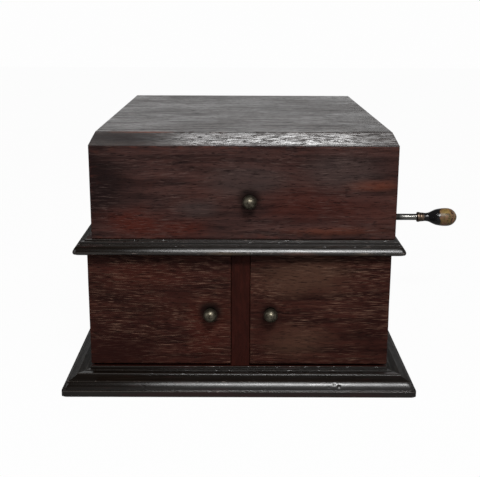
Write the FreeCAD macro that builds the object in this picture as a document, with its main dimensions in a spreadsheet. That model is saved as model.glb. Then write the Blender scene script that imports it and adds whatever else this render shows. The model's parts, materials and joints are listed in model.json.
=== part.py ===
"""A tabletop gramophone with an internal horn, as a parametric document.

Millimetres, +Z up. The origin is in the middle of the case, on the underside that it stands on.
The doors face -Y and the crank comes out of the right side, +X.
"""
import FreeCAD, Part
import math
import os
from types import SimpleNamespace

import Sketcher
from FreeCAD import Placement, Rotation, Vector

# Driving dimensions: name, value, what it measures
SIZES = [
    ("case_width", 375.0, "lower case over its side panels"),
    ("case_depth", 460.0, "door fronts to the back"),
    ("panel", 14.0, "side panel thickness"),
    ("back_panel", 12.0, "back panel thickness"),
    ("bottom_board", 14.0, "bottom board thickness"),
    ("case_top", 194.3, "top edge of the lower case above the table"),
    ("door_thickness", 16.0, "doors, sill and head rail"),
    ("door_gap", 0.3, "doors to the case behind them"),
    ("door_edge_gap", 0.5, "doors to the centre stile"),
    ("door_foot_gap", 3.0, "doors above the base"),
    ("door_head_gap", 1.0, "doors below the waist"),
    ("door_easing", 1.2, "rounding of the door edges"),
    ("stile_width", 23.0, "centre stile"),
    ("stile_shift", 1.6, "centre stile right of the middle"),
    ("stile_setback", 1.5, "stile behind the door fronts"),
    ("stile_depth", 22.0, "stile front to back"),
    ("base_height", 28.0, "base moulding"),
    ("base_overhang", 33.5, "base moulding past the case"),
    ("waist_height", 16.8, "waist moulding"),
    ("waist_overhang", 15.7, "waist moulding past the case"),
    ("deck_drop", 8.3, "top of the motor board below the case's top edge"),
    ("deck_thickness", 12.0, "motor board"),
    ("deck_gap", 0.5, "motor board inside the case"),
    ("cleat", 12.0, "square strips under the motor board"),
    ("lid_narrowing", 3.0, "lid over its side boards, narrower than the case"),
    ("lid_shift", 5.0, "lid right of the middle"),
    ("lid_gap", 0.3, "lid above the case"),
    ("lid_wall", 12.0, "lid boards"),
    ("lid_wall_height", 114.6, "lid boards, bottom to top"),
    ("lid_top_thickness", 16.0, "bevelled top board"),
    ("lid_bevel", 8.2, "setback of the top board's bevel"),
    ("lid_open", 68.0, "lid opening in degrees"),
    ("knob_radius", 8.8, "ball of the lid and door knobs"),
    ("knob_reach", 20.5, "knob front from the board"),
    ("knob_foot", 7.2, "radius of the knob's round foot"),
    ("door_knob_inset", 25.4, "door knob from the door's meeting edge"),
    ("door_knob_height", 100.0, "door knobs above the table"),
    ("lid_knob_height", 243.3, "lid knob above the table"),
    ("lid_knob_shift", 7.0, "lid knob right of the lid's middle"),
    ("leaf", 1.2, "hinge leaf thickness"),
    ("leaf_reach", 12.0, "hinge leaf from the board's edge"),
    ("door_knuckle", 2.0, "door hinge knuckle radius"),
    ("door_pin", 1.0, "door hinge pin radius"),
    ("door_hinge_length", 42.0, "door hinge, three knuckles"),
    ("door_hinge_inset", 26.0, "door hinge from the door's end"),
    ("lid_knuckle", 3.5, "lid hinge knuckle radius"),
    ("lid_pin", 1.7, "lid hinge pin radius"),
    ("lid_hinge_length", 60.0, "lid hinge, three knuckles"),
    ("lid_hinge_spacing", 230.0, "between the lid hinges"),
    ("knuckle_gap", 0.2, "between knuckles, end to end"),
    ("running_gap", 0.05, "pins and shafts in their holes"),
    ("stay_radius", 120.0, "quadrant stay from the lid hinge"),
    ("stay_width", 12.0, "quadrant strip"),
    ("stay_thickness", 2.0, "quadrant strip"),
    ("stay_slot_gap", 1.3, "stay in its slot"),
    ("spindle_x", -10.0, "turntable spindle"),
    ("spindle_y", -55.0, "turntable spindle"),
    ("spindle_radius", 4.0, "spindle shaft"),
    ("pin_radius", 3.6, "record pin at the spindle's top"),
    ("pin_height", 12.0, "record pin above the felt"),
    ("platter_radius", 127.0, "turntable"),
    ("platter_lift", 12.0, "lowest edge of the turntable above the motor board"),
    ("platter_height", 10.0, "turntable rim"),
    ("felt", 2.0, "felt thickness"),
    ("crank_y", -35.0, "winding shaft from the middle"),
    ("crank_drop", 32.6, "winding shaft below the motor board's top"),
    ("crank_throw", 105.0, "winding shaft to the handle"),
    ("crank_radius", 5.0, "crank rod"),
    ("crank_arm_x", 214.0, "crank arm from the middle"),
    ("crank_bend", 15.0, "bends of the crank rod"),
    ("ferrule_start", 277.0, "ferrule from the middle"),
    ("ferrule_length", 11.0, "ferrule"),
    ("ferrule_radius", 7.8, "ferrule"),
    ("handle_length", 51.5, "turned handle"),
    ("handle_radius", 13.8, "turned handle at its widest"),
    ("escutcheon_radius", 17.0, "crank escutcheon"),
    ("tonearm_x", 60.0, "tonearm pivot"),
    ("tonearm_y", 150.0, "tonearm pivot"),
    ("tonearm_rise", 66.0, "tonearm axis above the motor board"),
    ("needle_forward", 214.0, "pivot to soundbox centre along the arm"),
    ("arm_park", 8.5, "parked arm, degrees off the front-back line"),
    ("soundbox_radius", 27.0, "soundbox"),
    ("soundbox_offset", 28.0, "arm axis to the soundbox back"),
    ("soundbox_depth", 15.0, "soundbox case"),
    ("horn_board", 6.0, "horn boards"),
    ("throat_half", 27.0, "half the horn throat"),
    ("throat_roof", 70.0, "horn roof at the throat"),
    ("knee_y", -112.0, "where the horn roof turns up"),
    ("knee_drop", 11.0, "horn roof at the knee below the motor"),
    ("elbow_radius", 22.0, "cast elbow outside"),
    ("elbow_wall", 3.0, "cast elbow wall"),
    ("elbow_bend", 45.0, "cast elbow's bend"),
    ("elbow_z", 42.0, "elbow mouth above the table"),
    ("barrel_x", 65.0, "spring barrel from the middle"),
    ("barrel_radius", 42.0, "spring barrel"),
    ("barrel_height", 24.0, "spring barrel"),
    ("gear_width", 5.0, "gear faces"),
    ("plate_drop", 6.0, "motor's top plate below the motor board"),
    ("plate", 3.0, "motor plates"),
    ("motor_height", 63.0, "motor over both plates"),
]

doc = FreeCAD.newDocument("TableGramophone")
sheet = doc.addObject("Spreadsheet::Sheet", "Sizes")


class Dim:
    """A length: its number, and the sheet expression that gives it."""

    def __init__(self, value, text):
        self.value = value
        self.text = text

    def __add__(self, other):
        return Dim(self.value + number(other), f"({self.text} + {words(other)})")

    def __radd__(self, other):
        return as_dim(other) + self

    def __sub__(self, other):
        return Dim(self.value - number(other), f"({self.text} - {words(other)})")

    def __rsub__(self, other):
        return as_dim(other) - self

    def __mul__(self, other):
        return Dim(self.value * number(other), f"({self.text} * {words(other)})")

    def __rmul__(self, other):
        return self * other

    def __truediv__(self, other):
        return Dim(self.value / number(other), f"({self.text} / {words(other)})")

    def __neg__(self):
        return Dim(-self.value, f"(0 - {self.text})")


def number(size):
    """The plain number of a Dim or a number."""
    return size.value if isinstance(size, Dim) else float(size)


def words(size):
    """The expression text of a Dim or a number."""
    if isinstance(size, Dim):
        return size.text
    return f"{size:.9f}" if size >= 0 else f"(0 - {-size:.9f})"


def as_dim(size):
    """Any size as a Dim."""
    return size if isinstance(size, Dim) else Dim(float(size), words(size))


s = SimpleNamespace()
for row, (alias, value, note) in enumerate(SIZES, start=1):
    sheet.set(f"A{row}", note)
    sheet.set(f"B{row}", str(value))
    sheet.setAlias(f"B{row}", alias)
    setattr(s, alias, Dim(value, f"Sizes.{alias}"))
doc.recompute()

AXES = {"X": Vector(1, 0, 0), "Y": Vector(0, 1, 0), "Z": Vector(0, 0, 1)}
nodes = []


def node(obj, name):
    """Give an object its node name, so that it is written to parts/."""
    obj.Label = name
    nodes.append(obj)
    return obj


def place(obj, point, rotation=Rotation()):
    """Put an object at a point whose coordinates are bound to the sheet."""
    point = [as_dim(value) for value in point]
    obj.Placement = Placement(Vector(*[value.value for value in point]), rotation)
    for axis, value in zip("xyz", point):
        obj.setExpression(f"Placement.Base.{axis}", value.text)
    return obj


def block(x, y, z):
    """A box between three pairs of limits."""
    box = doc.addObject("Part::Box", "Block")
    for prop, (low, high) in zip(("Length", "Width", "Height"), (x, y, z)):
        box.setExpression(prop, (as_dim(high) - low).text)
    return place(box, (x[0], y[0], z[0]))


def bar(radius, axis, point, length):
    """A round bar from a point along an axis."""
    cylinder = doc.addObject("Part::Cylinder", "Bar")
    cylinder.setExpression("Radius", as_dim(radius).text)
    cylinder.setExpression("Height", as_dim(length).text)
    direction = axis if isinstance(axis, Vector) else AXES[axis]
    return place(cylinder, point, Rotation(AXES["Z"], direction))


def cut(base, *tools):
    """One piece less the others."""
    for tool in tools:
        result = doc.addObject("Part::Cut", "Cut")
        result.Base = base
        result.Tool = tool
        base = result
    return base


def fuse(*pieces):
    """Pieces made in one."""
    result = doc.addObject("Part::MultiFuse", "Fuse")
    result.Shapes = list(pieces)
    return result


def common(first, second):
    """What two pieces share."""
    result = doc.addObject("Part::MultiCommon", "Common")
    result.Shapes = [first, second]
    return result


def group(*pieces):
    """Separate solids that share one node."""
    result = doc.addObject("Part::Compound", "Group")
    result.Links = list(pieces)
    return result


def origin_plane(body, role):
    """One of a body's own origin planes."""
    return [item for item in body.Origin.OriginFeatures if item.Role == role][0]


def arc_middle(start, end, bulge):
    """The middle of an arc from start to end: bulge is its height over half its chord."""
    chord = end - start
    side = Vector(chord.y, -chord.x, 0)
    return (start + end) * 0.5 + side * (bulge * 0.5)


def outline_sketch(body, plane, outline):
    """A closed sketch whose corners are bound to the sheet.

    Each corner is (u, v), or (u, v, bulge) where an arc leads to the next one.
    """
    sketch = body.newObject("Sketcher::SketchObject", "Outline")
    sketch.AttachmentSupport = [(origin_plane(body, plane), "")]
    sketch.MapMode = "FlatFace"
    corners = [(as_dim(corner[0]), as_dim(corner[1])) for corner in outline]
    points = [Vector(u.value, v.value, 0) for u, v in corners]
    edges = []
    for index, corner in enumerate(outline):
        start = points[index]
        end = points[(index + 1) % len(points)]
        bulge = corner[2] if len(corner) > 2 else 0.0
        if bulge == 0.0:
            edges.append((sketch.addGeometry(Part.LineSegment(start, end)), 1, 2))
            continue
        middle = arc_middle(start, end, bulge)
        ends = (start, end) if bulge > 0 else (end, start)
        edge = sketch.addGeometry(Part.Arc(ends[0], middle, ends[1]))
        sketch.addConstraint(Sketcher.Constraint("Radius", edge, sketch.Geometry[edge].Radius))
        edges.append((edge, 1, 2) if bulge > 0 else (edge, 2, 1))
    for index, (edge, first, last) in enumerate(edges):
        before, _, before_last = edges[index - 1]
        sketch.addConstraint(Sketcher.Constraint("Coincident", before, before_last, edge, first))
        for kind, size in zip(("DistanceX", "DistanceY"), corners[index]):
            rule = sketch.addConstraint(Sketcher.Constraint(kind, -1, 1, edge, first, size.value))
            sketch.setExpression(f"Constraints[{rule}]", size.text)
    return sketch


def prism(axis, outline, start, end):
    """An outline carried along an axis: outlines are (Y, Z) along X, (X, Z) along Y, (X, Y) along Z."""
    plane = {"X": "YZ_Plane", "Y": "XZ_Plane", "Z": "XY_Plane"}[axis]
    body = doc.addObject("PartDesign::Body", "Prism")
    sketch = outline_sketch(body, plane, outline)
    offset = -as_dim(start) if axis == "Y" else as_dim(start)
    sketch.setExpression("AttachmentOffset.Base.z", offset.text)
    pad = body.newObject("PartDesign::Pad", "Pad")
    pad.Profile = sketch
    pad.Reversed = axis == "Y"
    pad.setExpression("Length", (as_dim(end) - start).text)
    return body


def turned(outline, axis, point):
    """A turned piece: an outline of (radius, distance along the axis) spun about an axis at a point."""
    body = doc.addObject("PartDesign::Body", "Turned")
    sketch = outline_sketch(body, "XZ_Plane", outline)
    spin = body.newObject("PartDesign::Revolution", "Spin")
    spin.Profile = sketch
    spin.ReferenceAxis = (sketch, ["V_Axis"])
    spin.Angle = 360
    direction = axis if isinstance(axis, Vector) else AXES[axis]
    return place(body, point, Rotation(AXES["Z"], direction))


def solid(shape):
    """A piece whose shape is worked out directly from the sizes."""
    feature = doc.addObject("Part::Feature", "Piece")
    feature.Shape = shape
    return feature


# Planes that the pieces share
half_width = s.case_width / 2
half_depth = s.case_depth / 2
front = -half_depth
door_back = front + s.door_thickness
case_front = door_back + s.door_gap
inner_x = half_width - s.panel
inner_back = half_depth - s.back_panel
waist_bottom = s.case_top - s.waist_height
deck_top = s.case_top - s.deck_drop
deck_bottom = deck_top - s.deck_thickness
platter_bottom = deck_top + s.platter_lift
crank_z = deck_top - s.crank_drop
plate_top = deck_bottom - s.plate_drop
motor_bottom = plate_top - s.motor_height
knee_roof = motor_bottom - s.knee_drop
lid_bottom = s.case_top + s.lid_gap
lid_wall_top = lid_bottom + s.lid_wall_height
lid_half = half_width - s.lid_narrowing / 2
lid_left = s.lid_shift - lid_half
lid_right = s.lid_shift + lid_half
lid_axis_y = half_depth + s.lid_knuckle + s.knuckle_gap
lid_axis_z = s.case_top + s.lid_gap / 2
door_axis_x = half_width + s.knuckle_gap
door_axis_y = door_back + s.door_gap / 2
door_bottom = s.base_height + s.door_foot_gap
door_top = waist_bottom - s.door_head_gap
stile_left = s.stile_shift - s.stile_width / 2
stile_right = s.stile_shift + s.stile_width / 2
mouth_roof = deck_bottom - 10.0
RAIL_DEPTH = 12.0
mouth_y = case_front + RAIL_DEPTH
throat_back = s.tonearm_y - s.elbow_bend
throat_y = throat_back - s.horn_board


def span(first, second):
    """Two limits in rising order."""
    return (first, second) if number(first) <= number(second) else (second, first)


def quarter_bend(radius, bend, centre, start, end):
    """A quarter of a ring that leads from one direction off its centre to another."""
    ring = doc.addObject("Part::Torus", "Bend")
    ring.setExpression("Radius1", as_dim(bend).text)
    ring.setExpression("Radius2", as_dim(radius).text)
    ring.Angle3 = 90
    return place(ring, centre, Rotation(start, end, start.cross(end), "ZXY"))


def eased(base, radius, chosen):
    """A piece with the edges that pass a test rounded."""
    doc.recompute()
    rounded = doc.addObject("Part::Fillet", "Eased")
    rounded.Base = base
    edges = enumerate(base.Shape.Edges, start=1)
    rounded.Edges = [(index, number(radius), number(radius)) for index, edge in edges if chosen(edge)]
    return rounded


def three_knuckles(low, length):
    """The ends of a hinge's three knuckles, with a gap between neighbours."""
    each = (length - 2 * s.knuckle_gap) / 3
    starts = [low + (each + s.knuckle_gap) * index for index in range(3)]
    return [(start, each) for start in starts]


def hinge_leaf(plate, knuckle, pin_hole, axis, point, length, own):
    """A leaf with its own knuckles, notched round the other leaf's, and bored for the pin."""
    low = {"X": 0, "Z": 2}[axis]
    knuckles = three_knuckles(point[low], length)
    pieces = [plate]
    notches = []
    for index, (start, each) in enumerate(knuckles):
        at = list(point)
        at[low] = start
        if index in own:
            pieces.append(bar(knuckle, axis, at, each))
            continue
        at[low] = start - s.knuckle_gap
        notches.append(bar(knuckle + s.door_gap, axis, at, each + 2 * s.knuckle_gap))
    return cut(cut(fuse(*pieces), *notches), bar(pin_hole, axis, point, length))


# Door hinges: knuckles in the joint between the doors and the side panels
door_hinge_starts = [
    door_bottom + s.door_hinge_inset,
    door_top - s.door_hinge_inset - s.door_hinge_length,
]


def door_hinges(side):
    """Case leaves, door leaves, pins and the grooves they lie in, for one side of the case."""
    made = SimpleNamespace(case=[], door=[], pins=[], case_cuts=[], door_cuts=[])
    axis_x = side * door_axis_x
    reach = span(side * (half_width - s.leaf_reach), axis_x)
    for start in door_hinge_starts:
        point = (axis_x, door_axis_y, start)
        height = (start, start + s.door_hinge_length)
        case_plate = block(reach, (case_front, case_front + s.leaf), height)
        door_plate = block(reach, (door_back - s.leaf, door_back), height)
        groove = bar(s.door_knuckle + s.door_gap, "Z", point, s.door_hinge_length)
        made.case.append(hinge_leaf(case_plate, s.door_knuckle, s.door_pin, "Z", point,
                                    s.door_hinge_length, (0, 2)))
        made.door.append(hinge_leaf(door_plate, s.door_knuckle, s.door_pin + s.running_gap, "Z", point,
                                    s.door_hinge_length, (1,)))
        made.pins.append(bar(s.door_pin, "Z", point, s.door_hinge_length))
        made.case_cuts += [block(reach, (case_front, case_front + s.leaf), height), groove]
        made.door_cuts += [block(reach, (door_back - s.leaf, door_back), height), groove]
    return made


hinges_left = door_hinges(-1)
hinges_right = door_hinges(1)

# Lid hinges: leaves between the lid's back board and the back panel
lid_hinges = SimpleNamespace(case=[], lid=[], pins=[], case_cuts=[], lid_cuts=[])
for side in (-1, 1):
    start = s.lid_shift + side * s.lid_hinge_spacing / 2 - s.lid_hinge_length / 2
    point = (start, lid_axis_y, lid_axis_z)
    along = (start, start + s.lid_hinge_length)
    leaf_y = (half_depth - s.leaf_reach, lid_axis_y)
    case_z = (s.case_top - s.leaf, s.case_top)
    lid_z = (lid_bottom, lid_bottom + s.leaf)
    lid_hinges.case.append(hinge_leaf(block(along, leaf_y, case_z), s.lid_knuckle, s.lid_pin, "X", point,
                                      s.lid_hinge_length, (0, 2)))
    lid_hinges.lid.append(hinge_leaf(block(along, leaf_y, lid_z), s.lid_knuckle, s.lid_pin + s.running_gap,
                                     "X", point, s.lid_hinge_length, (1,)))
    lid_hinges.pins.append(bar(s.lid_pin, "X", point, s.lid_hinge_length))
    lid_hinges.case_cuts.append(block(along, leaf_y, case_z))
    lid_hinges.lid_cuts.append(block(along, leaf_y, lid_z))

node(group(*hinges_left.case, *hinges_right.case, *lid_hinges.case), "hinge_case_leaves")
node(group(*hinges_left.pins, *hinges_right.pins, *lid_hinges.pins), "hinge_pins")
node(group(*hinges_left.door), "door_hinge_leaves_left")
node(group(*hinges_right.door), "door_hinge_leaves_right")
node(group(*lid_hinges.lid), "lid_hinge_leaves")

# Lower case: boards
case_y = (case_front, half_depth)
full_x = (-half_width, half_width)
inside_x = (-inner_x, inner_x)
bush_radius = s.crank_radius + 3.0
left_panel = block((-half_width, -inner_x), case_y, (0, s.case_top))
right_panel = block((inner_x, half_width), case_y, (0, s.case_top))
crank_hole = bar(bush_radius, "X", (inner_x, s.crank_y, crank_z), s.panel)
node(cut(left_panel, *hinges_left.case_cuts), "side_panel_left")
node(cut(right_panel, crank_hole, *hinges_right.case_cuts), "side_panel_right")
node(block(inside_x, (case_front, inner_back), (0, s.bottom_board)), "bottom_board")
back_board = block(inside_x, (inner_back, half_depth), (0, s.case_top))
node(cut(back_board, *lid_hinges.case_cuts), "back_panel")
rail_y = (front, case_front)
ledge_y = (case_front, mouth_y)
sill = block(full_x, rail_y, (0, s.base_height))
sill_ledge = block(inside_x, ledge_y, (s.bottom_board, s.base_height))
head = block(full_x, rail_y, (waist_bottom, s.case_top))
head_ledge = block(inside_x, ledge_y, (mouth_roof, s.case_top))
node(group(fuse(sill, sill_ledge), fuse(head, head_ledge)), "front_rails")
stile_y = (front + s.stile_setback, front + s.stile_setback + s.stile_depth)
stile_x = (stile_left, stile_right)
stile_block = block(stile_x, stile_y, (s.base_height, waist_bottom))
head_notch = block(stile_x, ledge_y, (mouth_roof, waist_bottom))
node(cut(stile_block, head_notch), "centre_stile")

# Mouldings: profiles as distance out from the case and height, mitred at the front corners
base_profile = [
    (0, 0),
    (s.base_overhang - 0.8, 0, 0.41),
    (s.base_overhang, 0.8),
    (s.base_overhang, 7.4, 0.41),
    (s.base_overhang - 0.9, 8.3),
    (s.base_overhang - 2.2, 8.3),
    (s.base_overhang - 2.2, 9.0, 0.15),
    (s.base_overhang - 8.0, 17.8),
    (s.base_overhang - 9.0, 17.8),
    (s.base_overhang - 9.0, 18.4, -0.10),
    (s.base_overhang - 23.5, s.base_height - 5.4),
    (s.base_overhang - 23.5, s.base_height - 2.7),
    (s.base_overhang - 27.0, s.base_height - 2.7),
    (s.base_overhang - 27.0, s.base_height),
    (0, s.base_height),
]
waist_profile = [
    (0, waist_bottom),
    (s.waist_overhang - 2.5, waist_bottom, 0.71),
    (s.waist_overhang - 5.2, waist_bottom + 10.6),
    (s.waist_overhang - 6.7, waist_bottom + 11.0),
    (s.waist_overhang - 6.7, waist_bottom + 11.8),
    (s.waist_overhang - 5.7, waist_bottom + 11.8),
    (s.waist_overhang - 5.7, s.case_top - 2.6),
    (s.waist_overhang - 8.7, s.case_top - 2.6),
    (s.waist_overhang - 8.7, s.case_top),
    (0, s.case_top),
]


def carried(profile, edge, outward):
    """A moulding profile set out from an edge, in the direction +1 or -1."""
    points = []
    for corner in profile:
        bulge = [outward * corner[2]] if len(corner) > 2 else []
        points.append((edge + outward * as_dim(corner[0]), corner[1], *bulge))
    return points


def mouldings(profile, overhang, low, high, name):
    """Front and side mouldings, mitred where they meet."""
    wide = half_width + overhang
    ahead = front - overhang
    front_plan = [(-half_width, front), (-wide, ahead), (wide, ahead), (half_width, front)]
    long_front = prism("X", carried(profile, front, -1), -wide, wide)
    node(common(long_front, prism("Z", front_plan, low, high)), f"{name}_front")
    sides = []
    for side in (-1, 1):
        plan = [(side * half_width, front), (side * wide, ahead), (side * wide, half_depth),
                (side * half_width, half_depth)]
        long_side = prism("Y", carried(profile, side * half_width, side), ahead, half_depth)
        sides.append(common(long_side, prism("Z", plan, low, high)))
    node(group(*sides), f"{name}_sides")


mouldings(base_profile, s.base_overhang, as_dim(0), s.base_height, "base_moulding")
mouldings(waist_profile, s.waist_overhang, waist_bottom, s.case_top, "waist_moulding")

# Internal horn: floor, roof, cheeks and throat board, narrowing from the doors to the elbow
throat_left = s.tonearm_x - s.throat_half
throat_right = s.tonearm_x + s.throat_half
floor_back = s.bottom_board + s.horn_board
horn_plan = [
    (-inner_x, mouth_y),
    (inner_x, mouth_y),
    (throat_right + s.horn_board, throat_y),
    (throat_left - s.horn_board, throat_y),
]
floor_section = [
    (mouth_y, s.base_height - s.horn_board),
    (mouth_y, s.base_height),
    (throat_y, floor_back),
    (throat_y, s.bottom_board),
]
rear_roof_section = [
    (s.knee_y, knee_roof),
    (throat_y, s.throat_roof),
    (throat_y, s.throat_roof + s.horn_board),
    (s.knee_y, knee_roof + s.horn_board),
]
front_roof_section = [
    (mouth_y, mouth_roof),
    (s.knee_y, knee_roof),
    (s.knee_y, knee_roof + s.horn_board),
    (mouth_y, mouth_roof + s.horn_board),
]
air_section = [
    (mouth_y, s.base_height),
    (throat_y, floor_back),
    (throat_y, s.throat_roof),
    (s.knee_y, knee_roof),
    (mouth_y, mouth_roof),
]
horn_boards = []
for section in (floor_section, rear_roof_section, front_roof_section):
    plan = prism("Z", horn_plan, 0, deck_top)
    horn_boards.append(common(prism("X", section, -inner_x, inner_x), plan))
throat_x = (throat_left - s.horn_board, throat_right + s.horn_board)
throat_board = block(throat_x, (throat_y, throat_back), (s.bottom_board, s.throat_roof + s.horn_board))
elbow_bore = s.elbow_radius - s.elbow_wall
throat_hole = bar(elbow_bore, "Y", (s.tonearm_x, throat_y, s.elbow_z), s.horn_board)
node(group(*horn_boards, cut(throat_board, throat_hole)), "horn_boards")
cheeks = []
for side, throat_edge in ((-1, throat_left), (1, throat_right)):
    plan = [
        (side * (inner_x - s.horn_board), mouth_y),
        (side * inner_x, mouth_y),
        (throat_edge + side * s.horn_board, throat_y),
        (throat_edge, throat_y),
    ]
    cheeks.append(common(prism("X", air_section, -inner_x, inner_x), prism("Z", plan, 0, deck_top)))
node(group(*cheeks), "horn_cheeks")

# Cast elbow: down from the motor board and forward into the throat
bend_top = s.elbow_z + s.elbow_bend
ELBOW_FLANGE = 4.0


def elbow_core(radius):
    """The elbow's straight leg and quarter bend, at one radius."""
    leg = bar(radius, "Z", (s.tonearm_x, s.tonearm_y, bend_top), deck_bottom - bend_top)
    centre = (s.tonearm_x, throat_back, bend_top)
    return fuse(leg, quarter_bend(radius, s.elbow_bend, centre, Vector(0, 1, 0), Vector(0, 0, -1)))


flange_at = (s.tonearm_x, s.tonearm_y, deck_bottom - ELBOW_FLANGE)
elbow_flange = bar(s.elbow_radius + 10.0, "Z", flange_at, ELBOW_FLANGE)
node(cut(fuse(elbow_core(s.elbow_radius), elbow_flange), elbow_core(elbow_bore)), "horn_elbow")

# Motor board on its cleats
deck_x = (-inner_x + s.deck_gap, inner_x - s.deck_gap)
deck_y = (mouth_y + s.deck_gap, inner_back - s.deck_gap)
deck_z = (deck_bottom, deck_top)
lid_inner_left = lid_left + s.lid_wall
stay_x = (lid_inner_left, lid_inner_left + s.stay_thickness)
stay_drop = lid_axis_z - deck_bottom
stay_far = s.stay_radius + s.stay_width / 2
stay_near = s.stay_radius - s.stay_width / 2
slot_back = lid_axis_y.value - math.sqrt(stay_near.value ** 2 - stay_drop.value ** 2) + s.stay_slot_gap.value
slot_x = (stay_x[0] - s.stay_slot_gap, stay_x[1] + s.stay_slot_gap)
stay_slot = block(slot_x, (lid_axis_y - stay_far - s.stay_slot_gap, slot_back), deck_z)
spindle_hole = bar(s.spindle_radius + 8.0, "Z", (s.spindle_x, s.spindle_y, deck_bottom), s.deck_thickness)
arm_hole = bar(elbow_bore, "Z", (s.tonearm_x, s.tonearm_y, deck_bottom), s.deck_thickness)
CUP_RADIUS = 19.0
CUP_SPACING = 50.0
CUP_FRONT = 34.0
CUP_SIDE = 30.0
cup_y = mouth_y + CUP_FRONT
cup_places = [(inner_x - CUP_SIDE - CUP_SPACING * index, cup_y) for index in range(2)]
cup_holes = [bar(CUP_RADIUS, "Z", (x, y, deck_bottom), s.deck_thickness) for x, y in cup_places]
SPEED_INSET = 42.0
SPEED_BACK = 150.0
speed_x = -inner_x + SPEED_INSET
speed_y = inner_back - SPEED_BACK
STEM_RADIUS = 3.0
stem_hole = bar(STEM_RADIUS + s.running_gap, "Z", (speed_x, speed_y, deck_bottom), s.deck_thickness)
BRAKE_ANGLE = math.radians(50.0)
BRAKE_REACH = 55.0
PAD_GAP = 0.4
PAD = 3.0
rim_out = Vector(math.cos(BRAKE_ANGLE), math.sin(BRAKE_ANGLE), 0)
rim_along = Vector(math.sin(BRAKE_ANGLE), -math.cos(BRAKE_ANGLE), 0)
pad_radius = s.platter_radius + PAD_GAP + PAD
brake_x = s.spindle_x + pad_radius * rim_out.x + BRAKE_REACH * rim_along.x
brake_y = s.spindle_y + pad_radius * rim_out.y + BRAKE_REACH * rim_along.y
SCREW_RADIUS = 2.0
SCREW_INSET = 14.0
screw_x = inner_x - SCREW_INSET
screw_places = [(-screw_x, mouth_y + SCREW_INSET), (screw_x, mouth_y + SCREW_INSET / 2),
                (-screw_x, inner_back - SCREW_INSET), (screw_x, inner_back - SCREW_INSET)]
deck_pins = [*screw_places, (brake_x, brake_y)]
pin_holes = [bar(SCREW_RADIUS, "Z", (x, y, deck_bottom), s.deck_thickness) for x, y in deck_pins]
deck_holes = [stay_slot, spindle_hole, arm_hole, *cup_holes, stem_hole, *pin_holes]
node(cut(block(deck_x, deck_y, deck_z), *deck_holes), "motor_board")
cleat_z = (deck_bottom - s.cleat, deck_bottom)
cleat_start = mouth_y + 14.0
stay_room = lid_axis_y - stay_far - 12.0
left_cleat = block((-inner_x, -inner_x + s.cleat), (cleat_start, stay_room), cleat_z)
right_cleat = block((inner_x - s.cleat, inner_x), (cleat_start, inner_back), cleat_z)
back_cleat = block((-inner_x / 2, inner_x - s.cleat), (inner_back - s.cleat, inner_back), cleat_z)
node(group(left_cleat, right_cleat, back_cleat), "motor_board_cleats")

# Doors and their knobs
FLAT = 0.6
door_inner_edges = {-1: stile_left - s.door_edge_gap, 1: stile_right + s.door_edge_gap}


def ball_knob(point):
    """A turned ball on a short neck and a round foot, facing -Y."""
    ball_y = s.knob_reach - s.knob_radius
    neck = s.knob_radius * 0.5
    shoulder = ball_y - s.knob_radius * math.sqrt(0.75)
    radius = s.knob_radius.value
    tip = ball_y + math.sqrt(radius ** 2 - FLAT ** 2)
    bulge = math.tan((math.radians(150) - math.asin(FLAT / radius)) / 4)
    outline = [
        (0, 0),
        (s.knob_foot, 0, 0.3),
        (s.knob_foot - 0.8, 1.8),
        (neck, 2.4),
        (neck, shoulder, bulge),
        (FLAT, tip),
        (0, tip),
    ]
    return turned(outline, Vector(0, -1, 0), point)


for side, name, hinges in ((-1, "left", hinges_left), (1, "right", hinges_right)):
    inner_edge = door_inner_edges[side]
    slab = block(span(inner_edge, side * half_width), (front, door_back), (door_bottom, door_top))
    slab = eased(slab, s.door_easing, lambda edge: edge.CenterOfMass.y < front.value + 0.01)
    node(cut(slab, *hinges.door_cuts), f"door_{name}")
    knob_x = inner_edge + side * s.door_knob_inset
    node(ball_knob((knob_x, front, s.door_knob_height)), f"door_knob_{name}")

# Lid: four boards, a bevelled top, knob and quadrant stay
lid_z = (lid_bottom, lid_wall_top)
between_y = (front + s.lid_wall, half_depth - s.lid_wall)
lid_x = (lid_left, lid_right)
node(block(lid_x, (front, front + s.lid_wall), lid_z), "lid_front")
node(cut(block(lid_x, (half_depth - s.lid_wall, half_depth), lid_z), *lid_hinges.lid_cuts), "lid_back")
lid_side_left = block((lid_left, lid_left + s.lid_wall), between_y, lid_z)
lid_side_right = block((lid_right - s.lid_wall, lid_right), between_y, lid_z)
node(group(lid_side_left, lid_side_right), "lid_sides")
BEVEL_ROUND = 0.12
bevel_front = [
    (front, lid_wall_top),
    (half_depth, lid_wall_top),
    (half_depth, lid_wall_top + s.lid_top_thickness),
    (front + s.lid_bevel, lid_wall_top + s.lid_top_thickness, BEVEL_ROUND),
]
bevel_sides = [
    (lid_left, lid_wall_top, -BEVEL_ROUND),
    (lid_left + s.lid_bevel, lid_wall_top + s.lid_top_thickness),
    (lid_right - s.lid_bevel, lid_wall_top + s.lid_top_thickness, -BEVEL_ROUND),
    (lid_right, lid_wall_top),
]
top_long = prism("X", bevel_front, lid_left, lid_right)
top_wide = prism("Y", bevel_sides, front, half_depth)
node(common(top_long, top_wide), "lid_top")
node(ball_knob((s.lid_shift + s.lid_knob_shift, front, s.lid_knob_height)), "lid_knob")


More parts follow.
